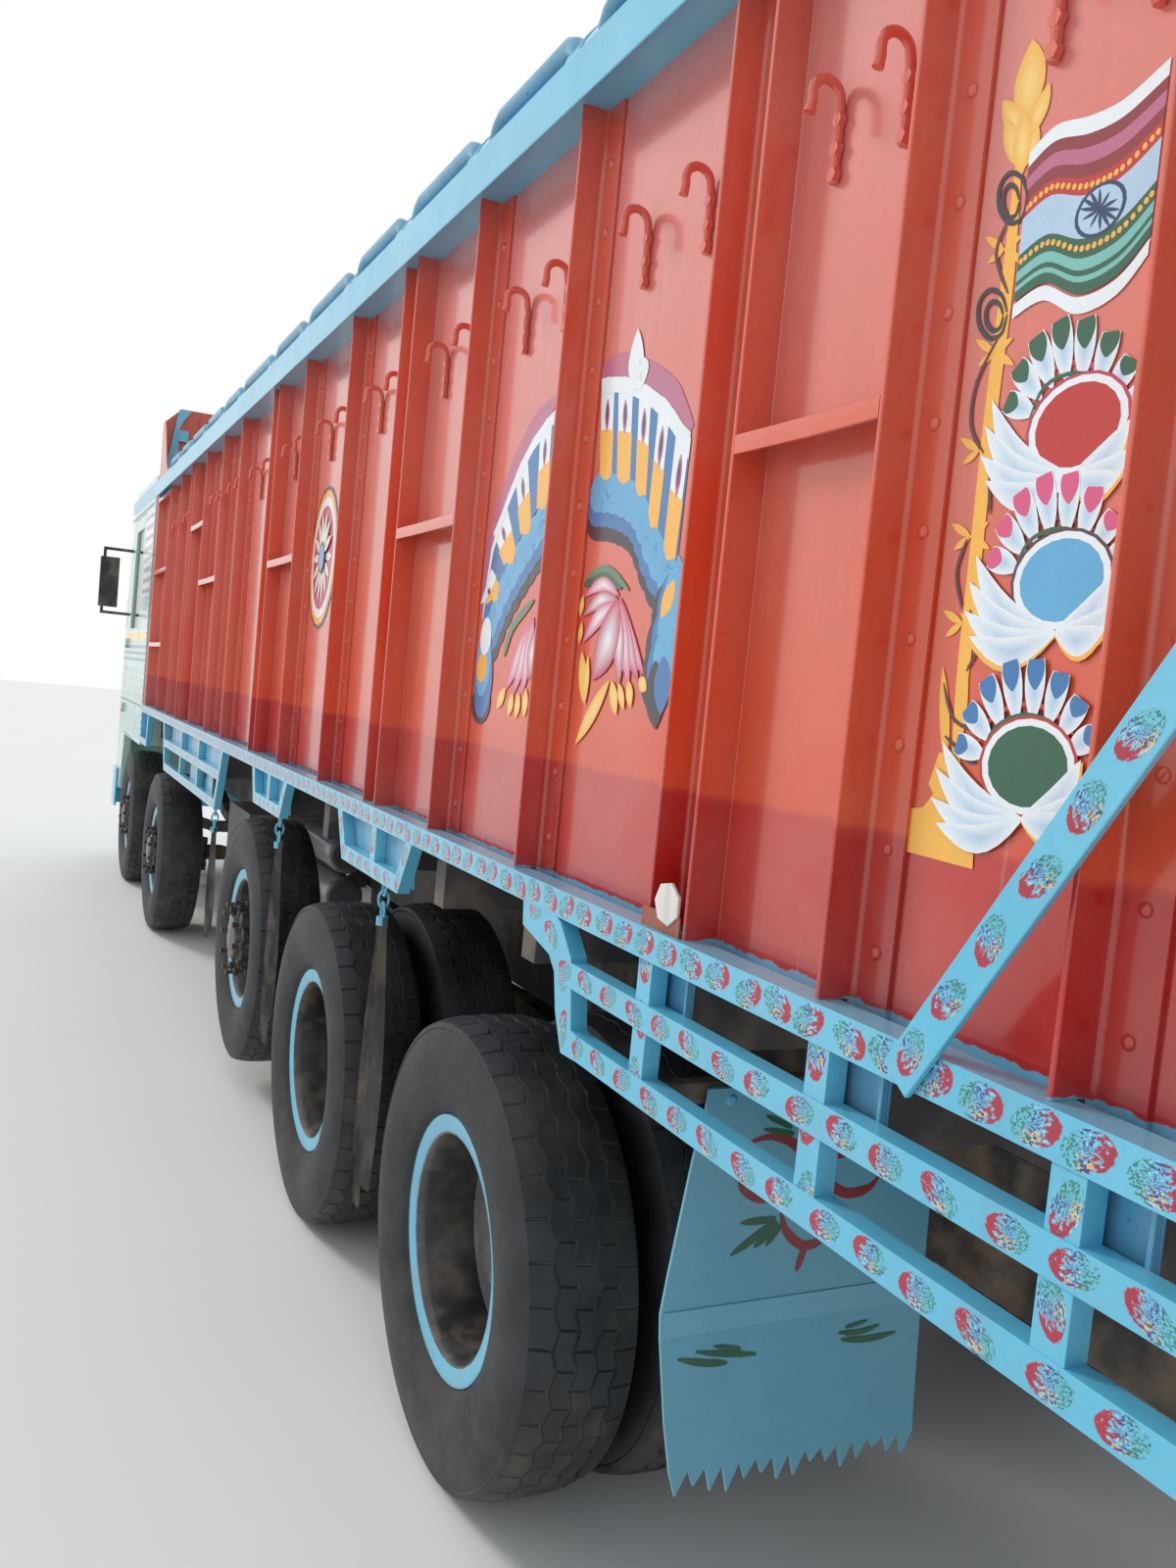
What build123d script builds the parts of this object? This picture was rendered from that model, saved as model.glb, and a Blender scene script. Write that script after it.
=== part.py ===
from build123d import *
import os
from math import cos, radians, sin

# Decorated five-axle goods truck with a tall open-top steel load body.
# Millimetres. X points forward, Y to the left, Z up. The origin is on the ground, midway along
# and across the vehicle. Places along the truck are given ahead of the last axle and moved by row_x.

os.makedirs("parts", exist_ok=True)

# Whole vehicle
overall_length = 11900.0
front_overhang = 1400.0
axle_gaps = (1870.0, 3220.0, 1360.0, 1420.0)
seat_gap = 0.3                 # clearance left where curved or moving faces seat
running_gap = 0.08             # radial clearance of a shaft in its bore

# Wheels
tyre_radius = 520.0
tyre_width = 274.0
tyre_track_y = 1087.0          # centre of every outer tyre
dual_spacing = 320.0           # outer to inner tyre of a twin pair
lift_height = 110.0            # how far the third axle hangs above the road
rim_seat_radius = 254.0
rim_flange_radius = 292.0
rim_half_width = 94.0
rim_wall = 9.0
hub_radius = 118.0
kingpin_y = 900.0
kingpin_radius = 22.0
front_spindle_radius = 36.0
rear_spindle_radius = 46.0
drum_radius = 205.0

# Chassis
rail_outer_y = 430.0
rail_flange = 90.0
rail_web = 10.0
rail_bottom_z = 735.0
rail_top_z = 1020.0
spring_width = 80.0
spring_half_span = 640.0
spring_thickness = 84.0

# Load body
body_front = 7230.0            # ahead of the last axle
body_rear = -2550.0
floor_top_z = 1400.0
floor_thickness = 28.0
bearer_height = 132.0
bearer_width = 70.0
wall_inner_y = 1128.0
panel_y = 1138.0
post_y = 1200.0
wall_top_z = 2965.0
floor_edge_y = 1140.0
post_leg = 8.0                 # thickness of a leg that stands out of the panel
post_base = 6.0                # thickness of the flange or web that lies on the panel
angle_flange = 76.0
top_rail_height = 75.0
rope_rail_radius = 21.0
bulkhead_top_z = 3620.0
bulkhead_thickness = 45.0

# Body rail and side guards
body_rail_inner_y = 1165.0
body_rail_outer_y = 1215.0
body_rail_bottom_z = 1378.0
body_rail_top_z = 1430.0
guard_inner_y = 1180.0
guard_bar = 46.0

# Cab
cab_front = 9170.0
cab_rear = 7330.0
cab_half_width = 1200.0
cab_wall = 40.0
cab_floor_z = 1120.0
cab_roof_z = 3140.0
door_front = 8830.0
door_rear = 7960.0
door_bottom_z = 1130.0
door_top_z = 2920.0
door_gap = 6.0
door_hinge_offset = 15.0

axle_x = [overall_length / 2 - front_overhang]
for gap in axle_gaps:
    axle_x.append(axle_x[-1] - gap)
axle_z = [tyre_radius, tyre_radius, tyre_radius + lift_height, tyre_radius, tyre_radius]
row_offset = axle_x[-1]
front_x = overall_length / 2
rear_x = -overall_length / 2
rail_inner_y = rail_outer_y - rail_web
spring_y = rail_outer_y - spring_width

# Wall posts, front to rear: place of the front edge ahead of the last axle, width along the truck, kind
# of section. An angle has one leg and a riveted flange behind it, a channel opens outward.
wall_posts = [
    (7230.0, 70.0, "corner"), (6450.0, 76.0, "angle"), (5880.0, 76.0, "angle"), (5400.0, 127.0, "channel"),
    (4800.0, 76.0, "angle"), (4200.0, 76.0, "angle"), (3650.0, 76.0, "angle"), (2900.0, 127.0, "channel"),
    (2280.0, 76.0, "angle"), (1590.0, 76.0, "angle"), (1000.0, 127.0, "channel"), (385.0, 76.0, "angle"),
    (-200.0, 76.0, "angle"), (-790.0, 127.0, "channel"), (-1262.0, 76.0, "angle"), (-1662.0, 76.0, "angle"),
    (-2110.0, 127.0, "channel"), (-2470.0, 80.0, "corner"),
]

# Angle rungs in the bays: index of the post ahead of the bay, height of the rung's lower edge
wall_rungs = [
    (13, 2165.0), (10, 2170.0), (7, 2190.0), (4, 2200.0), (3, 2540.0), (0, 2900.0), (0, 2370.0),
    (0, 1850.0), (16, 2165.0),
]

# Side guards: name, points of the outline below the body rail as ahead-of-last-axle and height
guard_frames = [
    ("front", [(7225.0, 1378.0), (7225.0, 1150.0), (6760.0, 1150.0), (6700.0, 1378.0)]),
    ("second", [(5830.0, 1378.0), (5660.0, 1085.0), (3590.0, 1085.0), (3440.0, 1378.0)]),
    ("third", [(2680.0, 1378.0), (2610.0, 1235.0), (2080.0, 1235.0), (1985.0, 1378.0)]),
    ("fourth", [(1220.0, 1378.0), (1130.0, 1235.0), (540.0, 1235.0), (450.0, 1378.0)]),
    ("rear", [(-300.0, 1378.0), (-410.0, 1344.0), (-470.0, 1300.0), (-510.0, 1140.0), (-2545.0, 1140.0),
              (-2545.0, 1378.0)]),
]


def row_x(ahead):
    """Turns a place ahead of the last axle into the row's X."""
    return ahead + row_offset


def block(x0, x1, y0, y1, z0, z1):
    size = (abs(x1 - x0), abs(y1 - y0), abs(z1 - z0))
    return Pos((x0 + x1) / 2, (y0 + y1) / 2, (z0 + z1) / 2) * Box(*size)


def side_prism(points, y0, y1):
    """Outline in X and Z, pushed from y0 to y1."""
    face = Plane((0, y1, 0), x_dir=(1, 0, 0), z_dir=(0, -1, 0)) * make_face(Polyline(*points, close=True))
    return extrude(face, y1 - y0)


def plan_prism(points, z0, z1):
    """Outline in X and Y, pushed from z0 to z1."""
    face = Pos(0, 0, z0) * make_face(Polyline(*points, close=True))
    return extrude(face, z1 - z0)


def front_prism(points, x0, x1):
    """Outline in Y and Z, pushed from x0 to x1."""
    face = Plane((x0, 0, 0), x_dir=(0, 1, 0), z_dir=(1, 0, 0)) * make_face(Polyline(*points, close=True))
    return extrude(face, x1 - x0)


def cylinder_y(x, y0, y1, z, radius):
    return Pos(x, (y0 + y1) / 2, z) * Rot(90, 0, 0) * Cylinder(radius, abs(y1 - y0))


def cylinder_x(x0, x1, y, z, radius):
    return Pos((x0 + x1) / 2, y, z) * Rot(0, 90, 0) * Cylinder(radius, abs(x1 - x0))


def cylinder_z(x, y, z0, z1, radius):
    return Pos(x, y, (z0 + z1) / 2) * Cylinder(radius, abs(z1 - z0))


def turned(profile):
    """Revolves an outline of (radius, y) points about the wheel's own axle line."""
    return revolve(make_face(Polyline(*profile, close=True)), Axis.Y)


def mirrored(shape):
    return mirror(shape, about=Plane.XZ)


def both_sides(shape):
    return Compound(children=list(shape.solids()) + list(mirrored(shape).solids()))


def group(shapes):
    """Keeps pieces that don't touch as solids of one node."""
    solids = []
    for shape in shapes:
        solids.extend(shape.solids())
    return Compound(children=solids)


def write(name, shape):
    export_step(shape, "parts/" + name + ".step")


def tyre_profile():
    half = tyre_width / 2
    bead = rim_half_width - 3
    bore = rim_seat_radius + seat_gap
    shoulder = tyre_radius - 10
    return [
        (bore, -bead), (rim_flange_radius + 2, -bead), (tyre_radius * 0.76, -half), (shoulder, -half * 0.82),
        (tyre_radius, -half * 0.55), (tyre_radius, half * 0.55), (shoulder, half * 0.82),
        (tyre_radius * 0.76, half), (rim_flange_radius + 2, bead), (bore, bead),
    ]


def rim_barrel():
    """Rim with a flange at each edge, centred on the tyre's middle plane."""
    inner = rim_seat_radius - rim_wall
    edge = rim_half_width + rim_wall
    return turned([
        (inner, -edge), (rim_flange_radius, -edge), (rim_flange_radius, -rim_half_width),
        (rim_seat_radius, -rim_half_width), (rim_seat_radius, rim_half_width),
        (rim_flange_radius, rim_half_width), (rim_flange_radius, edge), (inner, edge),
    ])


def single_wheel(spindle_radius):
    """Disc wheel with the hub standing out of it; +Y is outboard."""
    bore = spindle_radius + running_gap
    seat = rim_seat_radius - rim_wall
    disc = turned([
        (bore, 40), (seat + 1, -20), (seat + 1, -8), (hub_radius + 30, 62), (hub_radius, 66), (hub_radius, 118),
        (hub_radius - 34, 150), (bore, 150),
    ])
    drum = turned([
        (bore, -60), (drum_radius, -60), (drum_radius, 25), (drum_radius - 12, 25), (drum_radius - 12, -48),
        (bore, -48),
    ])
    drum = Pos(0, -18, 0) * mirror(drum, about=Plane.XZ)
    core = turned([(bore, -60), (hub_radius - 26, -60), (hub_radius - 26, 60), (bore, 60)])
    return rim_barrel() + disc + core + drum


def wheel_holes(wheel, count, pitch_radius, hole_radius):
    """Hand holes through the wheel disc."""
    for index in range(count):
        angle = 360.0 * index / count
        x = pitch_radius * cos(radians(angle))
        z = pitch_radius * sin(radians(angle))
        wheel = wheel - cylinder_y(x, -90, 90, z, hole_radius)
    return wheel


def twin_wheel(spindle_radius):
    """Two rims back to back on one hub; the outer rim is centred on y = 0."""
    bore = spindle_radius + running_gap
    seat = rim_seat_radius - rim_wall
    middle = -dual_spacing / 2
    web = turned([
        (bore, middle - 14), (seat + 1, middle - 110), (seat + 1, middle - 90), (hub_radius + 40, middle - 8),
        (hub_radius + 40, middle + 8), (seat + 1, middle + 90), (seat + 1, middle + 110), (bore, middle + 30),
    ])
    hub = turned([
        (bore, middle - 60), (hub_radius, middle - 60), (hub_radius, middle + 110), (hub_radius - 30, middle + 150),
        (bore, middle + 150),
    ])
    drum = turned([
        (hub_radius - 1, middle - 60), (drum_radius, middle - 60), (drum_radius, middle - 230),
        (drum_radius - 12, middle - 230), (drum_radius - 12, middle - 72), (hub_radius - 1, middle - 72),
    ])
    return rim_barrel() + Pos(0, -dual_spacing, 0) * rim_barrel() + web + hub + drum


# Bodies that turn: one tyre node and one wheel node for each end of each axle
wheel_kinds = ["single", "single", "single", "twin", "twin"]
side_names = ["left", "right"]


def write_wheels():
    tyre = turned(tyre_profile())
    single = wheel_holes(single_wheel(front_spindle_radius), 8, 185.0, 26.0)
    twin = twin_wheel(rear_spindle_radius)
    for number, kind in enumerate(wheel_kinds):
        wheel = single if kind == "single" else twin
        tyres = [tyre] if kind == "single" else [tyre, Pos(0, -dual_spacing, 0) * tyre]
        place = Pos(axle_x[number], tyre_track_y, axle_z[number])
        left_wheel = place * wheel
        left_tyres = group([place * one for one in tyres])
        name = str(number + 1)
        write("wheel_" + name + "_left", left_wheel)
        write("tyre_" + name + "_left", left_tyres)
        write("wheel_" + name + "_right", mirrored(left_wheel))
        write("tyre_" + name + "_right", mirrored(left_tyres))


def write_knuckles():
    """Stub axles of the two steered axles, each turning on its kingpin."""
    boss_half = 60.0
    yoke_half = 96.0
    for number in range(2):
        x = axle_x[number]
        z = axle_z[number]
        pin = cylinder_z(x, kingpin_y, z - yoke_half, z + yoke_half, kingpin_radius)
        arms = None
        for low, high in ((boss_half + 1, yoke_half), (-yoke_half, -boss_half - 1)):
            arm = cylinder_z(x, kingpin_y, z + low, z + high, 44.0)
            arm = arm + block(x - 44, x + 44, kingpin_y, kingpin_y + 78, z + low, z + high)
            arms = arm if arms is None else arms + arm
        plate = block(x - 44, x + 44, kingpin_y + 56, kingpin_y + 78, z - yoke_half, z + yoke_half)
        spindle = cylinder_y(x, kingpin_y + 60, tyre_track_y + 140, z, front_spindle_radius)
        steering_arm = block(x - 190, x - 20, kingpin_y - 12, kingpin_y + 12, z - yoke_half, z - yoke_half + 26)
        knuckle = pin + arms + plate + spindle + steering_arm
        name = "knuckle_" + str(number + 1)
        write(name + "_left", knuckle)
        write(name + "_right", mirrored(knuckle))


def dropped_beam(x, z, half_width, drop, depth, end_y):
    """Axle beam with a dropped middle, as an outline in Y and Z."""
    knee = half_width - 220.0
    outline = [
        (-end_y, z + 45), (-half_width, z + 45), (-knee, z - drop + depth), (knee, z - drop + depth),
        (half_width, z + 45), (end_y, z + 45), (end_y, z - 45), (half_width - 20, z - 45),
        (knee - 10, z - drop), (-knee + 10, z - drop), (-half_width + 20, z - 45), (-end_y, z - 45),
    ]
    return front_prism(outline, x - 40, x + 40)


def write_axles():
    """Two steered beams, the lifted beam with its arms, and the two rear housings."""
    solids = []
    for number in range(2):
        x = axle_x[number]
        z = axle_z[number]
        beam = dropped_beam(x, z, 760.0, 105.0, 85.0, kingpin_y - 30)
        for side in (-1, 1):
            y = side * kingpin_y
            beam = beam + cylinder_z(x, y, z - 60, z + 60, 42.0)
            beam = beam - cylinder_z(x, y, z - 61, z + 61, kingpin_radius + running_gap)
        solids.append(beam)
    x = axle_x[2]
    z = axle_z[2]
    lift = dropped_beam(x, z, 700.0, 190.0, 90.0, tyre_track_y - 95)
    for side in (-1, 1):
        spindle_y = sorted((side * (tyre_track_y - 100), side * (tyre_track_y + 140)))
        lift = lift + cylinder_y(x, spindle_y[0], spindle_y[1], z, front_spindle_radius)
        arm_y = sorted((side * spring_y, side * rail_outer_y))
        arm = [(x - 60, z - 120), (x + 60, z - 120), (x + 700, rail_bottom_z - 70), (x + 700, rail_bottom_z),
               (x + 640, rail_bottom_z), (x + 60, z + 45), (x - 60, z + 45)]
        lift = lift + side_prism(arm, arm_y[0], arm_y[1])
    solids.append(lift)
    for number in (3, 4):
        x = axle_x[number]
        z = axle_z[number]
        end = tyre_track_y - dual_spacing - rim_half_width - 70
        housing = cylinder_y(x, -end, end, z, 72.0)
        spindle_end = tyre_track_y - dual_spacing / 2 + 140
        housing = housing + cylinder_y(x, -spindle_end, spindle_end, z, rear_spindle_radius)
        for side in (-1, 1):
            seat_y = sorted((side * spring_y, side * rail_outer_y))
            housing = housing + block(x - 70, x + 70, seat_y[0], seat_y[1], z, z + 90)
        if number == 3:
            housing = housing + cylinder_x(x - 150, x + 190, 0, z, 170.0)
        solids.append(housing)
    write("axles", group(solids))


def leaf_pack(x, middle_z, end_z, half_span, thickness):
    """Stack of leaves as one arched bar, thin at its ends; middle_z is its underside at the axle."""
    y0 = spring_y
    end_thickness = spring_tip
    flat_end = half_span - 2 * hanger_half
    outline = [
        (x - half_span, end_z), (x - half_span * 0.45, middle_z + (end_z - middle_z) * 0.2), (x - 60, middle_z),
        (x + 60, middle_z), (x + half_span * 0.45, middle_z + (end_z - middle_z) * 0.2), (x + half_span, end_z),
        (x + half_span, end_z + end_thickness), (x + flat_end, end_z + end_thickness),
        (x + 70, middle_z + thickness), (x - 70, middle_z + thickness), (x - flat_end, end_z + end_thickness),
        (x - half_span, end_z + end_thickness),
    ]
    return side_prism(outline, y0, y0 + spring_width)


hanger_half = 45.0
hanger_drop = 60.0
spring_tip = 28.0
spring_end_z = rail_bottom_z - hanger_drop - spring_tip


def write_springs():
    packs = []
    for number in (0, 1):
        packs.append(leaf_pack(axle_x[number], axle_z[number] - 20.0, spring_end_z, spring_half_span,
                               spring_thickness))
    for number in (3, 4):
        packs.append(leaf_pack(axle_x[number], axle_z[number] + 90.0, spring_end_z, spring_half_span,
                               spring_thickness))
    write("leaf_springs", group([both_sides(pack) for pack in packs]))


# Cross members of the chassis: place ahead of the last axle, half length along X
cross_members = [(8950.0, 60.0), (8470.0, 50.0), (7720.0, 50.0), (6800.0, 50.0), (5000.0, 50.0),
                 (3500.0, 50.0), (2050.0, 50.0), (710.0, 50.0), (-700.0, 50.0), (-2350.0, 50.0)]
cross_bottom_z = 800.0
cross_height = 160.0
engine_rear = 7450.0
engine_front = 8600.0
engine_half_width = 310.0
engine_top_z = 1440.0


def write_chassis():
    """Ladder frame: two channel rails, cross members and spring hangers in one piece."""
    x0 = rear_x + 130
    x1 = row_x(cab_front) - cab_wall
    web = block(x0, x1, rail_inner_y, rail_outer_y, rail_bottom_z, rail_top_z)
    lower = block(x0, x1, rail_outer_y - rail_flange, rail_outer_y, rail_bottom_z, rail_bottom_z + rail_web)
    upper = block(x0, x1, rail_outer_y - rail_flange, rail_outer_y, rail_top_z - rail_web, rail_top_z)
    side = web + lower + upper
    for number in (0, 1, 3, 4):
        for end in (-1, 1):
            x = axle_x[number] + end * (spring_half_span - hanger_half)
            side = side + block(x - hanger_half, x + hanger_half, spring_y, rail_outer_y,
                                rail_bottom_z - hanger_drop, rail_bottom_z)
    frame = side + mirrored(side)
    for ahead, half in cross_members:
        x = row_x(ahead)
        frame = frame + block(x - half, x + half, -rail_inner_y, rail_inner_y,
                              cross_bottom_z, cross_bottom_z + cross_height)
    engine_space = block(row_x(engine_rear) - 1, row_x(engine_front) + 1, -engine_half_width - 1,
                         engine_half_width + 1, cross_bottom_z + 60, rail_top_z + 20)
    write("chassis_frame", frame - engine_space)


def write_engine():
    x0 = row_x(engine_rear)
    x1 = row_x(engine_front)
    mount = cross_bottom_z + 60
    engine = block(x0, x1, -engine_half_width, engine_half_width, mount, engine_top_z)
    sump = block(row_x(7790.0), row_x(8350.0), -200, 200, mount - 160, mount)
    gearbox_z = cross_bottom_z - 50
    gearbox_rear = x0 - 330
    gearbox = cylinder_x(gearbox_rear, x0 + 200, 0, gearbox_z, 130.0)
    write("engine_block", engine + sump + gearbox)
    joint_length = 70.0
    differential_front = axle_x[3] + 190
    shaft_start = Vector(gearbox_rear - joint_length, 0, gearbox_z - 12)
    shaft_end = Vector(differential_front + joint_length, 0, axle_z[3] + 60)
    run = shaft_end - shaft_start
    plane = Plane(origin=shaft_start, z_dir=run)
    shaft = extrude(plane * Circle(48.0), run.length)
    shaft = shaft + cylinder_x(gearbox_rear - joint_length - 20, gearbox_rear, 0, gearbox_z - 12, 52.0)
    shaft = shaft + cylinder_x(differential_front, differential_front + joint_length + 20, 0, axle_z[3] + 60, 56.0)
    write("propeller_shaft", shaft)


def write_tanks():
    """Fuel tank on the right, battery box and air reservoirs on the left, hung from the rails."""
    tank = block(row_x(3850.0), row_x(5150.0), -1040, -480, 560, 1010)
    tank = fillet(tank.edges().filter_by(Axis.X), 90.0)
    for ahead in (4050.0, 4900.0):
        x = row_x(ahead)
        tank = tank + block(x - 30, x + 30, -rail_outer_y, -500, 760, 960)
    boxes = block(row_x(4350.0), row_x(5000.0), 470, 900, 640, 980)
    boxes = boxes + block(row_x(4400.0), row_x(4950.0), rail_outer_y, 470, 760, 960)
    tanks = [tank, boxes]
    for z in (690.0, 900.0):
        reservoir = cylinder_x(row_x(3450.0), row_x(4150.0), 570, z, 95.0)
        reservoir = fillet(reservoir.edges(), 30.0)
        for ahead in (3600.0, 4000.0):
            x = row_x(ahead)
            reservoir = reservoir + block(x - 20, x + 20, rail_outer_y, 520, z - 30 + (60 if z < 800 else 0),
                                          z + 30 + (60 if z < 800 else 0))
        tanks.append(reservoir)
    write("chassis_tanks", group(tanks))


def guard_outline(points, inset):
    """The open part of a guard frame: its outline moved in by one bar, open up to the body rail."""
    middle = (points[0][0] + points[-1][0]) / 2
    low = min(z for x, z in points)
    inner = []
    for x, z in points:
        toward = inset if x < middle else -inset
        inner.append((row_x(x + toward), z + inset if z == low else z))
    return inner


def side_guard():
    """Body rail and the welded guard frames under it, as one side's weldment."""
    x0 = row_x(body_rear)
    x1 = row_x(body_front)
    guard = block(x0, x1, body_rail_inner_y, body_rail_outer_y, body_rail_bottom_z, body_rail_top_z)
    guard = guard - block(x0 - 1, x1 + 1, body_rail_inner_y - 1, body_rail_outer_y - 8,
                          body_rail_bottom_z + 8, body_rail_top_z - 8)
    for name, points in guard_frames:
        outer = [(row_x(x), z) for x, z in points]
        frame = side_prism(outer, guard_inner_y, body_rail_outer_y)
        hollow = side_prism(guard_outline(points, guard_bar), guard_inner_y - 1, body_rail_outer_y + 1)
        frame = frame - hollow
        if name in guard_middle_bars:
            start, end = guard_middle_bars[name]
            middle = (points[-2][1] + guard_bar + body_rail_bottom_z) / 2
            frame = frame + block(row_x(end), row_x(start), guard_inner_y, body_rail_outer_y,
                                  middle - guard_bar / 2, middle + guard_bar / 2)
        guard = guard + frame
    return guard


# Long guards have a bar at half height: name, where it starts and ends ahead of the last axle
guard_middle_bars = {"second": (5735.0, 3510.0), "rear": (-480.0, -2545.0)}

# Short posts that divide the long guards: place ahead of the last axle, width, lowest height
guard_posts = [
    (4960.0, 46.0, 1085.0), (4270.0, 46.0, 1085.0), (-800.0, 46.0, 1140.0), (-1275.0, 46.0, 1140.0),
    (-1690.0, 46.0, 1140.0), (-2130.0, 46.0, 1140.0), (2350.0, 46.0, 1235.0), (830.0, 46.0, 1235.0),
]

# Wide plates behind the rear guard's upper windows, under the wall posts: place and width
guard_plates = [(-780.0, 130.0), (-1262.0, 130.0), (-1662.0, 130.0), (-2110.0, 130.0)]
guard_plate_thickness = 15.0
guard_plate_low_z = 1262.0


def guard_uprights():
    posts = []
    for ahead, width, low in guard_posts:
        posts.append(block(row_x(ahead - width), row_x(ahead), guard_inner_y, body_rail_outer_y,
                           low, body_rail_bottom_z))
    for ahead, width in guard_plates:
        posts.append(block(row_x(ahead - width), row_x(ahead), guard_inner_y - guard_plate_thickness,
                           guard_inner_y + 4, guard_plate_low_z, body_rail_bottom_z + 4))
    return posts


def write_guards():
    guard = side_guard()
    for post in guard_uprights():
        guard = guard + post
    write("side_guard_left", guard)
    write("side_guard_right", mirrored(guard))


def write_floor():
    """Floor sheet on cross bearers, one under each wall post, on two runners over the chassis."""
    x0 = row_x(body_rear)
    x1 = row_x(body_front) - bulkhead_thickness
    sheet_bottom = floor_top_z - floor_thickness
    bearer_bottom = sheet_bottom - bearer_height
    floor = block(x0, x1, -floor_edge_y, floor_edge_y, sheet_bottom, floor_top_z)
    for ahead, width, kind in wall_posts[1:]:
        x = row_x(ahead) - width / 2
        floor = floor + block(x - bearer_width / 2, x + bearer_width / 2, -body_rail_inner_y,
                              body_rail_inner_y, bearer_bottom, sheet_bottom)
    for side in (-1, 1):
        runner = sorted((side * (rail_outer_y - 90), side * rail_outer_y))
        floor = floor + block(x0, x1, runner[0], runner[1], rail_top_z, sheet_bottom)
    write("load_floor", floor)


def wall_outline():
    """Plan outline of one side wall: flat inside, posts standing out of the panels outside."""
    outline = [(row_x(body_rear), wall_inner_y), (row_x(body_front) - bulkhead_thickness, wall_inner_y)]
    for ahead, width, kind in wall_posts:
        front = row_x(ahead)
        rear = front - width
        if kind == "corner":
            front = min(front, row_x(body_front) - bulkhead_thickness)
            rear = max(rear, row_x(body_rear))
            outline += [(front, panel_y), (front, post_y), (rear, post_y), (rear, panel_y)]
            continue
        base = panel_y + post_base
        outline += [(front, panel_y), (front, post_y), (front - post_leg, post_y), (front - post_leg, base)]
        if kind == "channel":
            outline += [(rear + post_leg, base), (rear + post_leg, post_y), (rear, post_y), (rear, panel_y)]
        else:
            outline += [(rear, base), (rear, panel_y)]
    if outline[-1][0] <= row_x(body_rear):
        outline.pop()
    return outline


def bay(index):
    """Free length of panel behind a post: front and rear end."""
    ahead, width, kind = wall_posts[index]
    return row_x(ahead) - width, row_x(wall_posts[index + 1][0])


def side_wall():
    wall = plan_prism(wall_outline(), floor_top_z, wall_top_z)
    wall = wall - block(row_x(body_rear) - 1, row_x(body_front), body_rail_inner_y, post_y + 1,
                        floor_top_z - 1, body_rail_top_z)
    for index, z in wall_rungs:
        ahead, width, kind = wall_posts[index]
        x1, x0 = bay(index)
        if kind == "angle":
            x1 = row_x(ahead) - post_leg
        face = block(x0, x1, post_y - 6, post_y, z, z + 48)
        ledge = block(x0, x1, panel_y, post_y, z + 42, z + 48)
        wall = wall + face + ledge
    return wall


def write_walls():
    wall = side_wall()
    write("side_wall_left", wall)
    write("side_wall_right", mirrored(wall))


def write_top_rails():
    """Channel along the top edge with the rope rail above it on short feet."""
    x0 = row_x(body_rear)
    x1 = row_x(body_front) - bulkhead_thickness
    channel = front_prism([
        (wall_inner_y - 8, wall_top_z), (post_y + 34, wall_top_z), (post_y + 34, wall_top_z - 30),
        (post_y + 40, wall_top_z - 30), (post_y + 40, wall_top_z + top_rail_height),
        (wall_inner_y - 8, wall_top_z + top_rail_height),
    ], x0, x1)
    rope_y = post_y + 5
    rope_z = wall_top_z + top_rail_height + 62
    for index in range(1, len(wall_posts) - 1):
        start = row_x(wall_posts[index][0]) - 140
        end = row_x(wall_posts[index + 1][0]) + 60
        rail = cylinder_x(end, start, rope_y, rope_z, rope_rail_radius)
        for x in (start - 25, end + 25):
            rail = rail + block(x - 22, x + 22, rope_y - 14, rope_y + 14, wall_top_z + top_rail_height - 2,
                                rope_z)
        channel = channel + rail
    write("top_rails", both_sides(channel))


# Rope hooks: heights of the shank's foot and of the crook's top, reach out of the panel, bar width
hook_foot_z = 2558.0
hook_top_z = 2703.0
hook_reach = 60.0
hook_bar = 14.0
hook_width = 18.0
hook_shares = (0.32, 0.76)     # places of the two hooks along each bay


def hook(x):
    """Shank flat on the panel with a crook that stands out and turns down."""
    x0 = x - hook_width / 2
    x1 = x + hook_width / 2
    turn = hook_reach / 2
    centre_z = hook_top_z - turn
    shank = block(x0, x1, panel_y, panel_y + hook_bar, hook_foot_z, centre_z)
    ring = Pos((x0 + x1) / 2, panel_y + turn, centre_z) * Rot(0, 90, 0)
    crook = ring * (Cylinder(turn, hook_width) - Cylinder(turn - hook_bar, hook_width + 2))
    crook = crook & block(x0 - 1, x1 + 1, panel_y - 1, post_y, centre_z, hook_top_z + 1)
    tip = block(x0, x1, panel_y + hook_reach - hook_bar, panel_y + hook_reach, centre_z - 25, centre_z)
    return shank + crook + tip


def write_hooks():
    hooks = []
    rung_bays = [index for index, z in wall_rungs if z > hook_foot_z - 60]
    for index in range(1, len(wall_posts) - 1):
        if index in rung_bays:
            continue
        x1, x0 = bay(index)
        for share in hook_shares:
            hooks.append(hook(x1 + share * (x0 - x1)))
    write("rope_hooks", group([both_sides(one) for one in hooks]))


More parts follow.
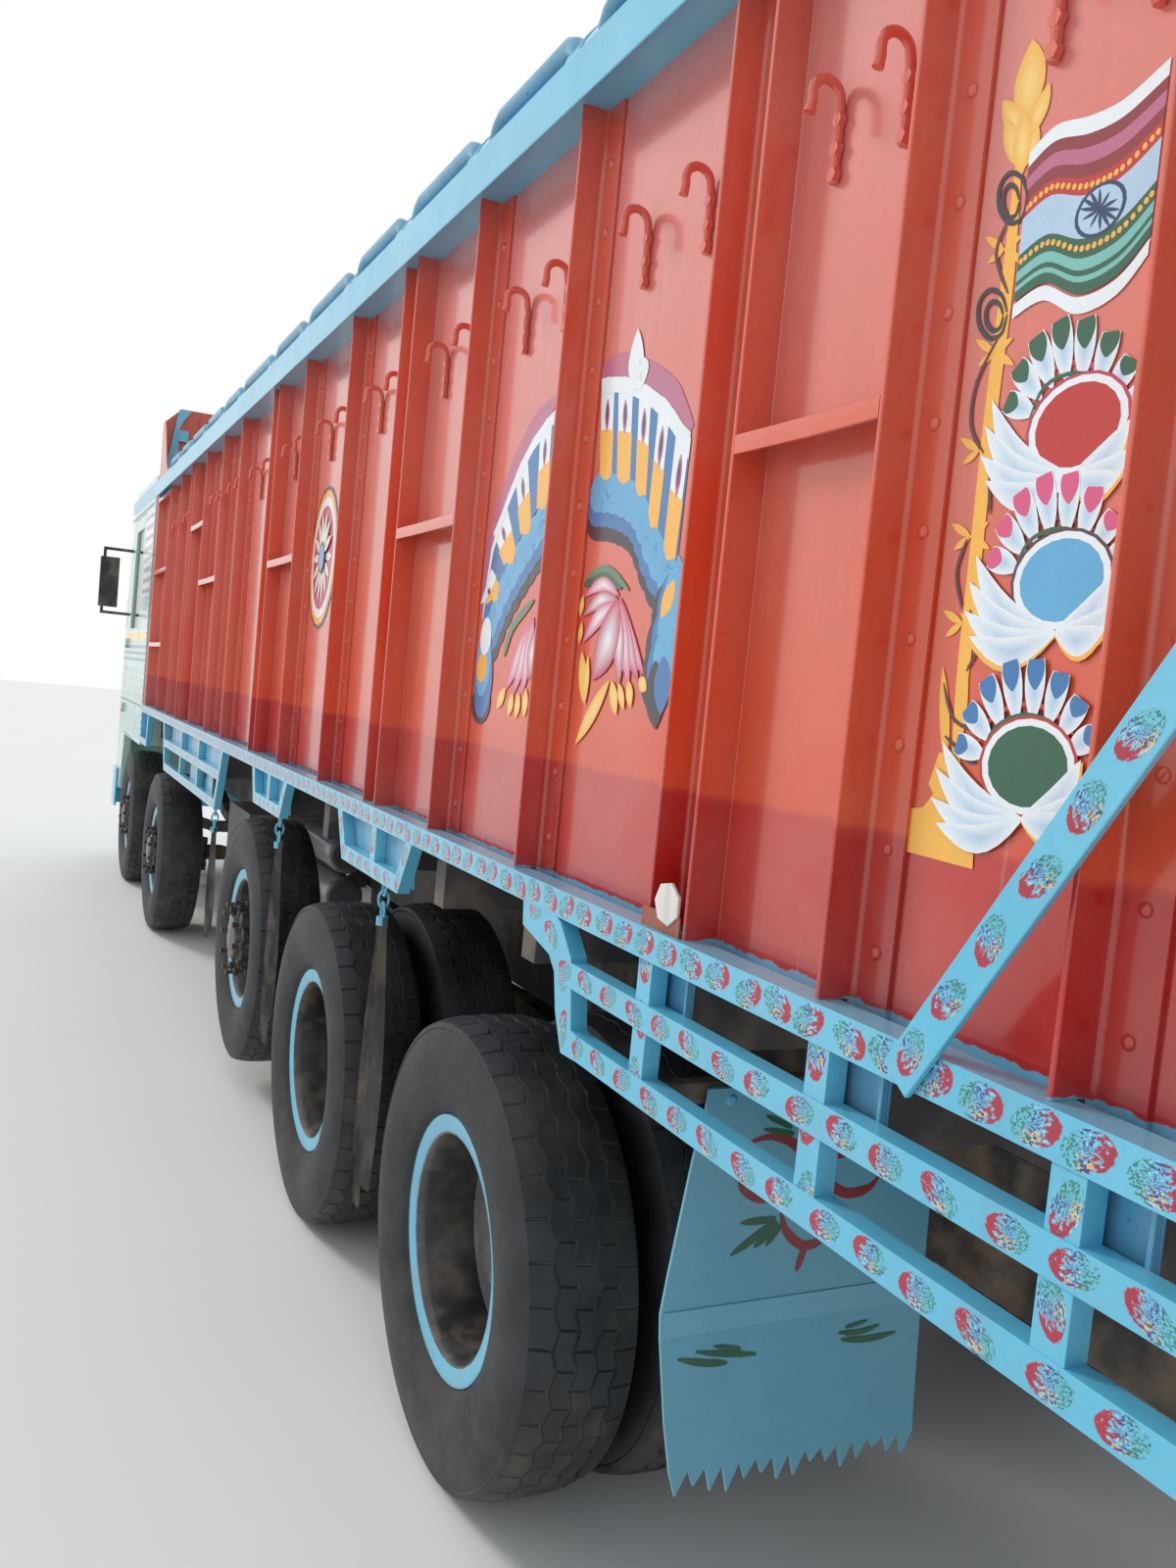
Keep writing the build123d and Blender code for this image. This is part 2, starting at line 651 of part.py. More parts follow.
def write_bulkhead():
    """Front wall of the load body with its raised top, corner returns and pressed ribs."""
    x1 = row_x(body_front)
    x0 = x1 - bulkhead_thickness
    foot_z = floor_top_z - floor_thickness
    top = [
        (-body_rail_inner_y, foot_z), (body_rail_inner_y, foot_z), (body_rail_inner_y, body_rail_top_z),
        (post_y, body_rail_top_z), (post_y, bulkhead_top_z - 120), (post_y - 120, bulkhead_top_z),
        (-post_y + 120, bulkhead_top_z), (-post_y, bulkhead_top_z - 120), (-post_y, body_rail_top_z),
        (-body_rail_inner_y, body_rail_top_z),
    ]
    wall = front_prism(top, x0 + 20, x1)
    for y in (-900, -450, 0, 450, 900):
        wall = wall + block(x0, x0 + 20, y - 50, y + 50, floor_top_z, bulkhead_top_z - 40)
    gusset_foot = wall_top_z + top_rail_height
    for side in (-1, 1):
        ys = sorted((side * (post_y - 8), side * post_y))
        gusset = side_prism([
            (x0 + 20, gusset_foot), (x0 - 520, gusset_foot), (x0 - 330, gusset_foot + 130),
            (x0 - 180, gusset_foot + 360), (x0 - 90, bulkhead_top_z - 120), (x0 + 20, bulkhead_top_z - 120),
        ], ys[0], ys[1])
        wall = wall + gusset
    feet = block(x0, x1, rail_outer_y - 90, rail_outer_y, rail_top_z, foot_z)
    wall = wall + feet + mirrored(feet)
    write("front_bulkhead", wall)


tail_plate = 6.0
tail_door_x = row_x(body_rear) - tail_plate - 4.0
tail_door_thickness = 42.0
tail_pin_x = row_x(body_rear) - 59.0
tail_pin_y = 1214.0
tail_pin_radius = 11.0
tail_barrel_radius = 20.0
tail_ear_radius = 14.0
tail_hinge_heights = (1560.0, 2180.0, 2800.0)
tail_door_bottom_z = 1440.0


def rear_frame():
    """Rear corner posts, sill, header and the ears and pins of the tail door hinges."""
    x0 = row_x(body_rear)
    post = block(x0, x0 + 80, 1070, wall_inner_y, floor_top_z, wall_top_z)
    plate = block(x0 - tail_plate, x0, 1070, post_y, floor_top_z, wall_top_z)
    frame = post + plate
    for z in tail_hinge_heights:
        low = z - 66
        high = z - 36
        ear = block(tail_pin_x, x0, tail_pin_y - tail_ear_radius, tail_pin_y + tail_ear_radius, low, high)
        ear = ear + cylinder_z(tail_pin_x, tail_pin_y, low, high, tail_ear_radius)
        ear = ear + block(x0 - tail_plate, x0, post_y - 10, tail_pin_y + tail_ear_radius, low, high)
        ear = ear + cylinder_z(tail_pin_x, tail_pin_y, z - 50, z + 36, tail_pin_radius)
        frame = frame + ear
    frame = frame + mirrored(frame)
    frame = frame + block(x0, x0 + 80, -wall_inner_y, wall_inner_y, wall_top_z - 90, wall_top_z)
    frame = frame + block(x0 - tail_plate, x0, -post_y, post_y, 1250, body_rail_top_z)
    return frame


def tail_door():
    """One leaf of the tail doors: sheet with pressed ribs, three hinge barrels and a lock bar."""
    y0 = 5.0
    y1 = 1196.0
    x1 = tail_door_x
    x0 = x1 - tail_door_thickness
    door = block(x0 + 22, x1, y0, y1, tail_door_bottom_z, wall_top_z)
    frame = block(x0, x0 + 22, y0, y1, tail_door_bottom_z, wall_top_z)
    frame = frame - block(x0 - 1, x0 + 23, y0 + 80, y1 - 80, tail_door_bottom_z + 80, wall_top_z - 80)
    door = door + frame
    for z in (1950.0, 2450.0):
        door = door + block(x0, x0 + 22, y0, y1, z - 45, z + 45)
    for z in tail_hinge_heights:
        strap = block(tail_pin_x - 10, x0 + 2, y1 - 220, tail_pin_y, z - 30, z + 30)
        barrel = cylinder_z(tail_pin_x, tail_pin_y, z - 30, z + 30, tail_barrel_radius)
        door = door + strap + barrel
        door = door - cylinder_z(tail_pin_x, tail_pin_y, z - 31, z + 31, tail_pin_radius + running_gap)
    return door


def write_tail():
    bar = block(rear_x, rear_x + 60, -1150, 1150, 520, 640)
    for side in (-1, 1):
        hanger_y = sorted((side * (rail_outer_y - 60), side * rail_outer_y))
        bar = bar + block(rear_x + 60, rear_x + 130, hanger_y[0], hanger_y[1], 520, rail_bottom_z + 150)
        bar = bar + block(rear_x + 130, rear_x + 420, hanger_y[0], hanger_y[1], rail_bottom_z - 90,
                          rail_bottom_z)
    write("rear_frame", group([rear_frame(), bar]))
    door = tail_door()
    write("tail_door_left", door)
    write("tail_door_right", mirrored(door))


def cab_profile():
    """Side outline of the cab in X and Z."""
    return [
        (row_x(cab_rear), cab_floor_z), (row_x(cab_front), cab_floor_z), (row_x(cab_front), 1880.0),
        (row_x(cab_front) - 190, 2800.0), (row_x(cab_front) - 260, cab_roof_z - 40),
        (row_x(cab_front) - 420, cab_roof_z), (row_x(cab_rear) + 60, cab_roof_z),
        (row_x(cab_rear), cab_roof_z - 40),
    ]


def inner_profile():
    wall = cab_wall
    return [
        (row_x(cab_rear) + wall, cab_floor_z + wall), (row_x(cab_front) - wall, cab_floor_z + wall),
        (row_x(cab_front) - wall, 1880.0), (row_x(cab_front) - 190 - wall, 2800.0),
        (row_x(cab_front) - 260 - wall, cab_roof_z - 40 - wall), (row_x(cab_front) - 420, cab_roof_z - wall),
        (row_x(cab_rear) + 60, cab_roof_z - wall), (row_x(cab_rear) + wall, cab_roof_z - 40 - wall),
    ]


def door_outline(inset):
    """Door outline in X and Z; the front top corner follows the raked pillar."""
    x0 = row_x(door_rear) + inset
    x1 = row_x(door_front) - inset
    z0 = door_bottom_z + inset
    z1 = door_top_z - inset
    return [(x0, z0), (x1, z0), (x1, 2050.0), (x1 - 90, z1), (x0, z1)]


def door_window():
    x0 = row_x(door_rear) + 110
    x1 = row_x(door_front) - 110
    return [(x0, 2010.0), (x1, 2010.0), (x1, 2080.0), (x1 - 80, door_top_z - 110), (x0, door_top_z - 110)]


cab_hinge_x = row_x(door_front) + 2.0
cab_hinge_y = cab_half_width + door_hinge_offset
cab_pin_radius = 6.0
cab_hinge_heights = (1350.0, 1900.0)


def write_cab():
    """Hollow cab with its windscreen, rear window and door openings, roof lip, steps and front arch."""
    width = cab_half_width
    cab = side_prism(cab_profile(), -width, width)
    cab = cab - side_prism(inner_profile(), -width + cab_wall, width - cab_wall)
    opening = side_prism(door_outline(0.0), width - cab_wall - 1, width + 1)
    cab = cab - opening - mirrored(opening)
    screen = front_prism([(-width + 110, 1900), (width - 110, 1900), (width - 150, 2740), (-width + 150, 2740)],
                         row_x(cab_front) - 330, row_x(cab_front) + 10)
    cab = cab - screen
    rear_window = block(row_x(cab_rear) - 1, row_x(cab_rear) + cab_wall + 1, -650, 650, 2050, 2600)
    cab = cab - rear_window
    tunnel = block(row_x(engine_rear) - 60, row_x(engine_front) + 60, -engine_half_width - 30,
                   engine_half_width + 30, cab_floor_z - 1, engine_top_z + 30)
    cover = block(row_x(engine_rear) - 80, row_x(engine_front) + 90, -engine_half_width - 60,
                  engine_half_width + 60, cab_floor_z, engine_top_z + 60)
    cab = cab + cover - tunnel
    for side in (-1, 1):
        for ahead in (8950.0, 7420.0):
            x = row_x(ahead)
            pad = sorted((side * (rail_outer_y - 80), side * rail_outer_y))
            cab = cab + block(x - 50, x + 50, pad[0], pad[1], rail_top_z, cab_floor_z)
        skirt_y = sorted((side * (width - 60), side * width))
        skirt = side_prism([
            (row_x(8620.0), cab_floor_z), (row_x(8700.0), 800.0), (row_x(8780.0), 640.0),
            (row_x(cab_front) - 40, 640.0), (row_x(cab_front) - 40, cab_floor_z),
        ], skirt_y[0], skirt_y[1])
        cab = cab + skirt
    apron = block(row_x(cab_front) - 40, row_x(cab_front), -width, width, rail_bottom_z + 25, cab_floor_z)
    cab = cab + apron
    visor = side_prism([
        (row_x(cab_front) - 262, 2960.0), (row_x(cab_front) + 40, 2900.0), (row_x(cab_front) + 40, 2925.0),
        (row_x(cab_front) - 262, 3010.0),
    ], -width + 20, width - 20)
    cab = cab + visor
    for z in cab_hinge_heights:
        pin = cylinder_z(cab_hinge_x, cab_hinge_y, z - 55, z + 25, cab_pin_radius)
        lug = block(cab_hinge_x - 8, cab_hinge_x + 60, cab_half_width, cab_hinge_y + 10, z - 55, z - 31)
        cab = cab + (pin + lug) + mirrored(pin + lug)
    write("cab_shell", cab)
    write("cab_glass", group([cab_windscreen(), block(row_x(cab_rear) + 15, row_x(cab_rear) + 21, -650 + seat_gap,
                                                     650 - seat_gap, 2050 + seat_gap, 2600 - seat_gap)]))


def cab_windscreen():
    """Raked sheet that fills the windscreen opening."""
    width = cab_half_width
    front = row_x(cab_front)
    sheet = side_prism([
        (front - 26, 1880.0), (front - 20, 1880.0), (front - 210, 2800.0), (front - 216, 2800.0),
    ], -width, width)
    limit = front_prism([
        (-width + 110 + seat_gap, 1900 + seat_gap), (width - 110 - seat_gap, 1900 + seat_gap),
        (width - 150 - seat_gap, 2740 - seat_gap), (-width + 150 + seat_gap, 2740 - seat_gap),
    ], front - 330, front + 10)
    return sheet & limit


def write_cab_doors():
    """Cab doors with a cut window, hinged on pins at their front edge."""
    width = cab_half_width
    door = side_prism(door_outline(door_gap), width - cab_wall, width)
    window = side_prism(door_window(), width - cab_wall - 1, width + 1)
    door = door - window
    for z in cab_hinge_heights:
        ear = block(cab_hinge_x - 70, cab_hinge_x, width, cab_hinge_y + 10, z - 25, z + 25)
        barrel = cylinder_z(cab_hinge_x, cab_hinge_y, z - 25, z + 25, 13.0)
        door = door + (ear + barrel)
        door = door - cylinder_z(cab_hinge_x, cab_hinge_y, z - 26, z + 26, cab_pin_radius + running_gap)
    glass_y = width - cab_wall / 2
    glass = side_prism(inset_window(), glass_y - 3, glass_y + 3)
    write("cab_door_left", door)
    write("cab_door_right", mirrored(door))
    write("door_glass_left", glass)
    write("door_glass_right", mirrored(glass))


def inset_window():
    gap = seat_gap
    x0 = row_x(door_rear) + 110 + gap
    x1 = row_x(door_front) - 110 - gap
    top = door_top_z - 110 - gap
    return [(x0, 2010.0 + gap), (x1, 2010.0 + gap), (x1, 2080.0), (x1 - 80, top), (x0, top)]


def write_cab_inside():
    """Seats, dashboard and steering wheel; the driver sits on the right."""
    floor = cab_floor_z + cab_wall
    seats = []
    for y in (-760.0, 760.0):
        base = block(row_x(7750.0), row_x(8200.0), y - 230, y + 230, floor, floor + 330)
        cushion = block(row_x(7720.0), row_x(8230.0), y - 250, y + 250, floor + 330, floor + 430)
        back = side_prism([
            (row_x(7720.0), floor + 430), (row_x(7600.0), floor + 1020), (row_x(7500.0), floor + 1020),
            (row_x(7610.0), floor + 330), (row_x(7720.0), floor + 330),
        ], y - 250, y + 250)
        seats.append(base + cushion + back)
    write("cab_seats", group(seats))
    front = row_x(cab_front) - cab_wall
    inside = cab_half_width - cab_wall
    dash = side_prism([
        (front, floor + 380), (front, floor + 700), (front - 220, floor + 720), (front - 330, floor + 620),
        (front - 260, floor + 380),
    ], -inside, inside)
    column = Pos(front - 300, -760.0, floor + 560) * Rot(0, -38, 0) * Cylinder(26.0, 360)
    rim = Pos(front - 410, -760.0, floor + 700) * Rot(0, -38, 0) * (Cylinder(235.0, 26) - Cylinder(205.0, 28))
    spoke = Pos(front - 410, -760.0, floor + 700) * Rot(0, -38, 0) * Box(40, 430, 20)
    write("dashboard", dash + column + rim + spoke)


def write_front():
    """Bumper, grille, lamps and mirrors."""
    front = front_x
    cab = row_x(cab_front)
    bumper = plan_prism([
        (cab, -1220), (front - 60, -1220), (front, -1100), (front, 1100), (front - 60, 1220), (cab, 1220),
        (cab - 250, 1220), (cab - 250, 1202), (cab, 1202), (cab, -1202), (cab - 250, -1202), (cab - 250, -1220),
    ], 470, 800)
    for side in (-1, 1):
        ys = sorted((side * (rail_outer_y - 90), side * rail_outer_y))
        bumper = bumper + block(cab - 200, cab + 2, ys[0], ys[1], rail_bottom_z - 120, rail_bottom_z)
        pocket = cylinder_x(front - 60, front + 1, side * 900, 640, 105.0)
        bumper = bumper - pocket
    write("front_bumper", bumper)
    lamps = []
    for side in (-1, 1):
        lamps.append(cylinder_x(front - 60, front - 4, side * 900, 640, 105.0 - seat_gap))
        lamps.append(block(cab, cab + 30, side * 1120 - 40, side * 1120 + 40, 1160, 1280))
        lamps.append(block(row_x(body_rear) - 60, row_x(body_rear) - 6, side * 1000 - 110, side * 1000 + 110,
                           1270, 1360))
    write("lamps", group(lamps))
    grille = block(cab, cab + 30, -760, 760, 1080, 1620) - block(cab + 10, cab + 31, -720, 720, 1120, 1580)
    for z in range(1160, 1580, 84):
        grille = grille + block(cab, cab + 28, -740, 740, z - 14, z + 14)
    write("grille", grille)
    arm = block(row_x(8890.0) - 12, row_x(8890.0) + 12, cab_half_width, 1440, 2660, 2684)
    arm = arm + block(row_x(8890.0) - 12, row_x(8890.0) + 12, 1416, 1440, 2120, 2684)
    arm = arm + block(row_x(8890.0) - 12, row_x(8890.0) + 12, cab_half_width, 1440, 2120, 2144)
    housing = block(row_x(8890.0) - 60, row_x(8890.0) + 12, 1310, 1460, 2180, 2600)
    write("mirrors", both_sides(arm + housing))


def write_braces():
    """Flat bars from the body rail up to the rear corner of the walls, bolted at both ends."""
    lean_front = row_x(-1490.0)
    lean_rear = row_x(-2480.0)
    low = body_rail_bottom_z + 4
    high = 2860.0
    brace = side_prism([
        (lean_front, low), (lean_front + 62, low), (lean_rear + 62, high), (lean_rear, high),
    ], body_rail_outer_y, body_rail_outer_y + 10)
    stand_off = block(lean_rear, lean_rear + 60, post_y, body_rail_outer_y, high - 70, high)
    write("diagonal_braces", both_sides(brace + stand_off))


def write_mud_flaps():
    """Sheet flaps behind the last axle, hung from a bar between chassis and guard."""
    x = row_x(-880.0)
    outline = [(600, 1180), (1100, 1180), (1160, 860), (1165, 700), (1120, 520), (600, 480), (600, 800)]
    flap = front_prism(outline, x - 4, x + 4)
    bar = block(x + 4, x + 34, rail_outer_y, guard_inner_y, 1150, 1186)
    write("mud_flaps", both_sides(flap + bar))


# Cloth strips that hang from the guards: place ahead of the last axle, top height, bottom height
hanging_strips = [(3640.0, 1085.0, 420.0), (2130.0, 1235.0, 330.0), (710.0, 1235.0, 300.0)]


def write_strips():
    strips = []
    for ahead, top, bottom in hanging_strips:
        x = row_x(ahead)
        strips.append(side_prism([
            (x - 22, top), (x + 22, top), (x + 55, (top + bottom) / 2), (x + 30, bottom), (x - 30, bottom),
            (x - 55, (top + bottom) / 2),
        ], 1186, 1206))
    write("hanging_strips", group(strips))


write_wheels()
write_knuckles()
write_axles()
write_springs()
write_chassis()
write_engine()
write_tanks()
write_guards()
write_floor()
write_walls()
write_top_rails()
write_hooks()
write_bulkhead()
write_tail()
write_cab()
write_cab_doors()
write_cab_inside()
write_front()
write_braces()
write_mud_flaps()
write_strips()
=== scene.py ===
from math import cos, pi, radians, sin, sqrt, tau

import bmesh
import bpy
from mathutils import Matrix, Vector, noise


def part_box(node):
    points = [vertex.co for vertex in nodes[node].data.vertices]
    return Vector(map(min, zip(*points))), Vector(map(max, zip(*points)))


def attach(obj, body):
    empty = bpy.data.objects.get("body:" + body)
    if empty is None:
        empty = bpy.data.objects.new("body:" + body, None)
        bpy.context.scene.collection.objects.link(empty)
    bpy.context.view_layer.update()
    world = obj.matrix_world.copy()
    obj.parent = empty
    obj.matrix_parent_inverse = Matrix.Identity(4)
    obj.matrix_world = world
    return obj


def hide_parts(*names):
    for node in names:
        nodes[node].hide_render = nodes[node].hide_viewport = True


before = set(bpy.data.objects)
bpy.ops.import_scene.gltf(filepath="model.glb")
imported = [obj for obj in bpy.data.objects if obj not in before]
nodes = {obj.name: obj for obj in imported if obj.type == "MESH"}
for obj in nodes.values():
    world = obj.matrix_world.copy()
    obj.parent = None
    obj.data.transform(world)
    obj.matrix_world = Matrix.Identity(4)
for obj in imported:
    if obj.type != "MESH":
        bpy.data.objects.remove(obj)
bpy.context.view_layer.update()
print("frame loaded with", len(nodes), "nodes")


# small helpers for colours, shader nodes and node groups

def screen(red, green, blue):  # 0-255 screen colour to Blender's linear one
    parts = [value / 255 for value in (red, green, blue)]
    return (*[part / 12.92 if part <= 0.04045 else ((part + 0.055) / 1.055) ** 2.4 for part in parts], 1.0)


def addNode(tree, kind, inputs=None, **settings):
    node = tree.nodes.new(kind)
    for name, value in settings.items():
        setattr(node, name, value)
    for socket, value in (inputs or {}).items():
        if isinstance(value, bpy.types.NodeSocket):
            tree.links.new(value, node.inputs[socket])
        else:
            node.inputs[socket].default_value = value
    return node


def calc(tree, operation, *values, clamp=False):
    node = addNode(tree, "ShaderNodeMath", dict(enumerate(values)), operation=operation, use_clamp=clamp)
    return node.outputs[0]


def times(tree, first, second, clamp=False):
    return calc(tree, "MULTIPLY", first, second, clamp=clamp)


def plus(tree, first, second, clamp=False):
    return calc(tree, "ADD", first, second, clamp=clamp)


def less(tree, first, second, clamp=False):
    return calc(tree, "SUBTRACT", first, second, clamp=clamp)


def blendColours(tree, factor, first, second, mode="MIX"):
    node = addNode(tree, "ShaderNodeMix", {0: factor, 6: first, 7: second}, data_type="RGBA",
                   blend_type=mode)
    return node.outputs[2]


def rise(tree, value, low, high):  # 0 below low, 1 above high, smooth between
    node = addNode(tree, "ShaderNodeMapRange", {0: value, 1: low, 2: high}, interpolation_type="SMOOTHSTEP")
    return node.outputs[0]


def within(tree, value, startLow, startHigh, endHigh, endLow):  # 1 between two soft edges
    return times(tree, rise(tree, value, startLow, startHigh), rise(tree, value, endHigh, endLow))


def cloudy(tree, place, scale, detail=3.0, stretch=None, rough=0.55):
    if stretch:
        place = addNode(tree, "ShaderNodeMapping", {"Vector": place, "Scale": stretch}).outputs[0]
    node = addNode(tree, "ShaderNodeTexNoise",
                   {"Vector": place, "Scale": scale, "Detail": detail, "Roughness": rough})
    return node.outputs["Fac"]


def objectPlace(tree):
    return addNode(tree, "ShaderNodeTexCoord").outputs["Object"]


def apart(tree, vector):  # X, Y and Z sockets of a vector
    return addNode(tree, "ShaderNodeSeparateXYZ", {0: vector}).outputs


def together(tree, x, y, z=0.0):
    return addNode(tree, "ShaderNodeCombineXYZ", {0: x, 1: y, 2: z}).outputs[0]


def evenly(tree, value):
    return together(tree, value, value, value)


def pointColour(tree, name):
    return addNode(tree, "ShaderNodeAttribute", attribute_name=name).outputs["Color"]


socketKinds = {"colour": "NodeSocketColor", "value": "NodeSocketFloat", "vector": "NodeSocketVector",
               "count": "NodeSocketInt", "piece": "NodeSocketObject", "finish": "NodeSocketMaterial",
               "geometry": "NodeSocketGeometry"}


def makeGroup(name, given, made, kind="ShaderNodeTree"):
    # given holds each input's first value, or the kind of an input without one; made holds each output's kind
    group = bpy.data.node_groups.new(name, kind)
    kinds = {float: "value", int: "count", tuple: "colour"}
    for label, value in given.items():
        sort = value if isinstance(value, str) else kinds[type(value)]
        socket = group.interface.new_socket(name=label, in_out="INPUT", socket_type=socketKinds[sort])
        if not isinstance(value, str):
            socket.default_value = value
    for label, sort in made.items():
        group.interface.new_socket(name=label, in_out="OUTPUT", socket_type=socketKinds[sort])
    return group, group.nodes.new("NodeGroupInput").outputs, group.nodes.new("NodeGroupOutput").inputs


# shared effects: each puts out colours, masks or heights only

def makeAgedPaint():  # clouding, rain streaks, chips and settled dust on any enamel
    inputs = {"Colour": (0.5, 0.1, 0.05, 1), "Faded": (0.6, 0.3, 0.25, 1), "Dust": screen(150, 136, 116),
              "Bare": screen(84, 58, 46), "Fade": 0.3, "Streaks": 0.2, "Chips": 0.2, "Dusty": 0.2,
              "Gloss roughness": 0.3}
    group, given, made = makeGroup("agedPaint", inputs,
                                   dict(Colour="colour", Roughness="value", Height="value"))
    place = objectPlace(group)
    cloud = cloudy(group, place, 2.1, 4)
    patch = cloudy(group, place, 9.0, 4)
    grain = cloudy(group, place, 90.0, 2)
    rain = cloudy(group, place, 1.0, 4, (24, 24, 1.2))
    chip = cloudy(group, place, 34.0, 6, rough=0.65)
    colour = blendColours(group, times(group, rise(group, cloud, 0.36, 0.68), given["Fade"]),
                          given["Colour"], given["Faded"])
    streak = times(group, rise(group, rain, 0.56, 0.74), given["Streaks"])
    colour = blendColours(group, streak, colour, given["Faded"])
    dark = times(group, rise(group, rain, 0.46, 0.3), times(group, given["Streaks"], 0.7))
    colour = blendColours(group, dark, colour, given["Bare"])
    dust = times(group, rise(group, patch, 0.4, 0.72), given["Dusty"])
    colour = blendColours(group, dust, colour, given["Dust"])
    bare = rise(group, plus(group, chip, times(group, given["Chips"], 0.16)), 0.76, 0.79)
    colour = blendColours(group, bare, colour, given["Bare"])
    shade = calc(group, "MULTIPLY_ADD", grain, 0.12, 0.94)
    group.links.new(blendColours(group, 1.0, colour, evenly(group, shade), "MULTIPLY"), made["Colour"])
    rough = plus(group, given["Gloss roughness"], times(group, dust, 0.35))
    rough = plus(group, rough, times(group, bare, 0.4))
    rough = plus(group, rough, times(group, less(group, patch, 0.5), 0.14), clamp=True)
    group.links.new(rough, made["Roughness"])
    height = calc(group, "MULTIPLY_ADD", grain, 0.10, times(group, patch, 0.35))
    group.links.new(less(group, height, times(group, bare, 0.5)), made["Height"])
    return group


def makeRoadDust():  # mud and dust that thin out with height
    inputs = {"Colour": (0.1, 0.1, 0.1, 1), "Dust": screen(128, 108, 84), "Clear height": 1.0,
              "Amount": 0.5, "Scale": 6.0}
    group, given, made = makeGroup("roadDust", inputs, dict(Colour="colour", Mask="value"))
    place = objectPlace(group)
    low = less(group, 1.0, calc(group, "DIVIDE", apart(group, place)["Z"], given["Clear height"]),
               clamp=True)
    patch = cloudy(group, place, given["Scale"], 6, rough=0.62)
    mask = rise(group, plus(group, patch, times(group, low, 0.34)), 0.56, 0.86)
    mask = times(group, mask, given["Amount"], clamp=True)
    group.links.new(blendColours(group, mask, given["Colour"], given["Dust"]), made["Colour"])
    group.links.new(mask, made["Mask"])
    return group


def makeBlockPrint():  # row of oval stamps along U: crimson crescent, feathers, green fan, yellow touch
    inputs = {"Ground": (0.1, 0.5, 0.7, 1), "Run": 0.0, "Across": 0.0, "Pitch": 0.092, "Half length": 0.034,
              "Half height": 0.019, "Strength": 1.0}
    group, given, made = makeGroup("blockPrint", inputs, dict(Colour="colour", Mask="value"))
    run = calc(group, "DIVIDE", given["Run"], given["Pitch"])
    count = calc(group, "FLOOR", run)
    draw = addNode(group, "ShaderNodeTexWhiteNoise", {"Vector": together(group, count, 3.7, 1.3)},
                   noise_dimensions="3D").outputs["Color"]
    luck = apart(group, draw)
    along = less(group, less(group, run, count), 0.5)
    along = times(group, along, given["Pitch"])
    along = plus(group, along, times(group, less(group, luck["X"], 0.5), 0.012))
    lift = times(group, less(group, luck["Y"], 0.5), 0.005)
    up = plus(group, given["Across"], lift)
    tilt = times(group, less(group, luck["Z"], 0.5), 0.5)
    up = plus(group, up, times(group, along, tilt))
    a = calc(group, "DIVIDE", along, given["Half length"])
    b = calc(group, "DIVIDE", up, given["Half height"])
    edge = calc(group, "SQRT", plus(group, times(group, a, a), times(group, b, b)))
    turn = calc(group, "ARCTAN2", b, a)
    seed = times(group, count, 1.73)
    streak = cloudy(group, together(group, calc(group, "MULTIPLY_ADD", turn, 1.5, times(group, b, 1.1)),
                                    calc(group, "MULTIPLY_ADD", edge, 2.4, a), seed), 2.6, 3, rough=0.6)
    speck = cloudy(group, together(group, times(group, a, 2.3), times(group, b, 1.6), seed),
                   2.6, 5, rough=0.7)
    inside = rise(group, plus(group, edge, times(group, speck, 0.36)), 1.2, 1.13)
    curl = plus(group, times(group, a, -0.42), times(group, streak, 1.05))
    crescent = times(group, rise(group, curl, 0.66, 0.72), rise(group, a, 0.2, -0.05))
    violet = times(group, rise(group, streak, 0.5, 0.54), within(group, a, -0.75, -0.5, 0.45, 0.1))
    white = times(group, rise(group, streak, 0.38, 0.33), within(group, a, -0.8, -0.4, 0.5, 0.2))
    fan = times(group, rise(group, streak, 0.49, 0.54), rise(group, a, -0.05, 0.2))
    fan = times(group, fan, rise(group, edge, 0.2, 0.5))
    blot = times(group, rise(group, speck, 0.5, 0.56), rise(group, a, 0.1, 0.45))
    touch = times(group, rise(group, b, 0.05, 0.4), within(group, a, -0.4, -0.15, 0.6, 0.2))
    yellow = times(group, rise(group, speck, 0.47, 0.55), touch)
    colour = blendColours(group, times(group, times(group, inside, blot), 0.45),
                          given["Ground"], screen(112, 190, 160))
    for mask, tone in ((white, screen(196, 222, 240)), (yellow, screen(226, 190, 92)),
                       (fan, screen(44, 122, 112)), (violet, screen(64, 52, 128)),
                       (crescent, screen(168, 38, 62))):
        share = times(group, times(group, inside, mask), given["Strength"], clamp=True)
        colour = blendColours(group, share, colour, tone)
    group.links.new(colour, made["Colour"])
    group.links.new(inside, made["Mask"])
    return group


def makeRubberGrain():
    inputs = {"Colour": (0.03, 0.03, 0.03, 1), "Worn": screen(74, 76, 78), "Scale": 1.0}
    group, given, made = makeGroup("rubberGrain", inputs,
                                   dict(Colour="colour", Roughness="value", Height="value"))
    place = objectPlace(group)
    patch = cloudy(group, place, times(group, given["Scale"], 5.0), 5)
    scuff = cloudy(group, place, times(group, given["Scale"], 42.0), 5, rough=0.7)
    colour = blendColours(group, times(group, rise(group, patch, 0.38, 0.7), 0.55), given["Colour"],
                          given["Worn"])
    colour = blendColours(group, times(group, rise(group, scuff, 0.56, 0.7), 0.4), colour, given["Worn"])
    group.links.new(colour, made["Colour"])
    group.links.new(calc(group, "MULTIPLY_ADD", scuff, 0.35, 0.42), made["Roughness"])
    group.links.new(plus(group, scuff, times(group, patch, 0.6)), made["Height"])
    return group


agedPaint = makeAgedPaint()
roadDust = makeRoadDust()
blockPrint = makeBlockPrint()
rubberGrain = makeRubberGrain()


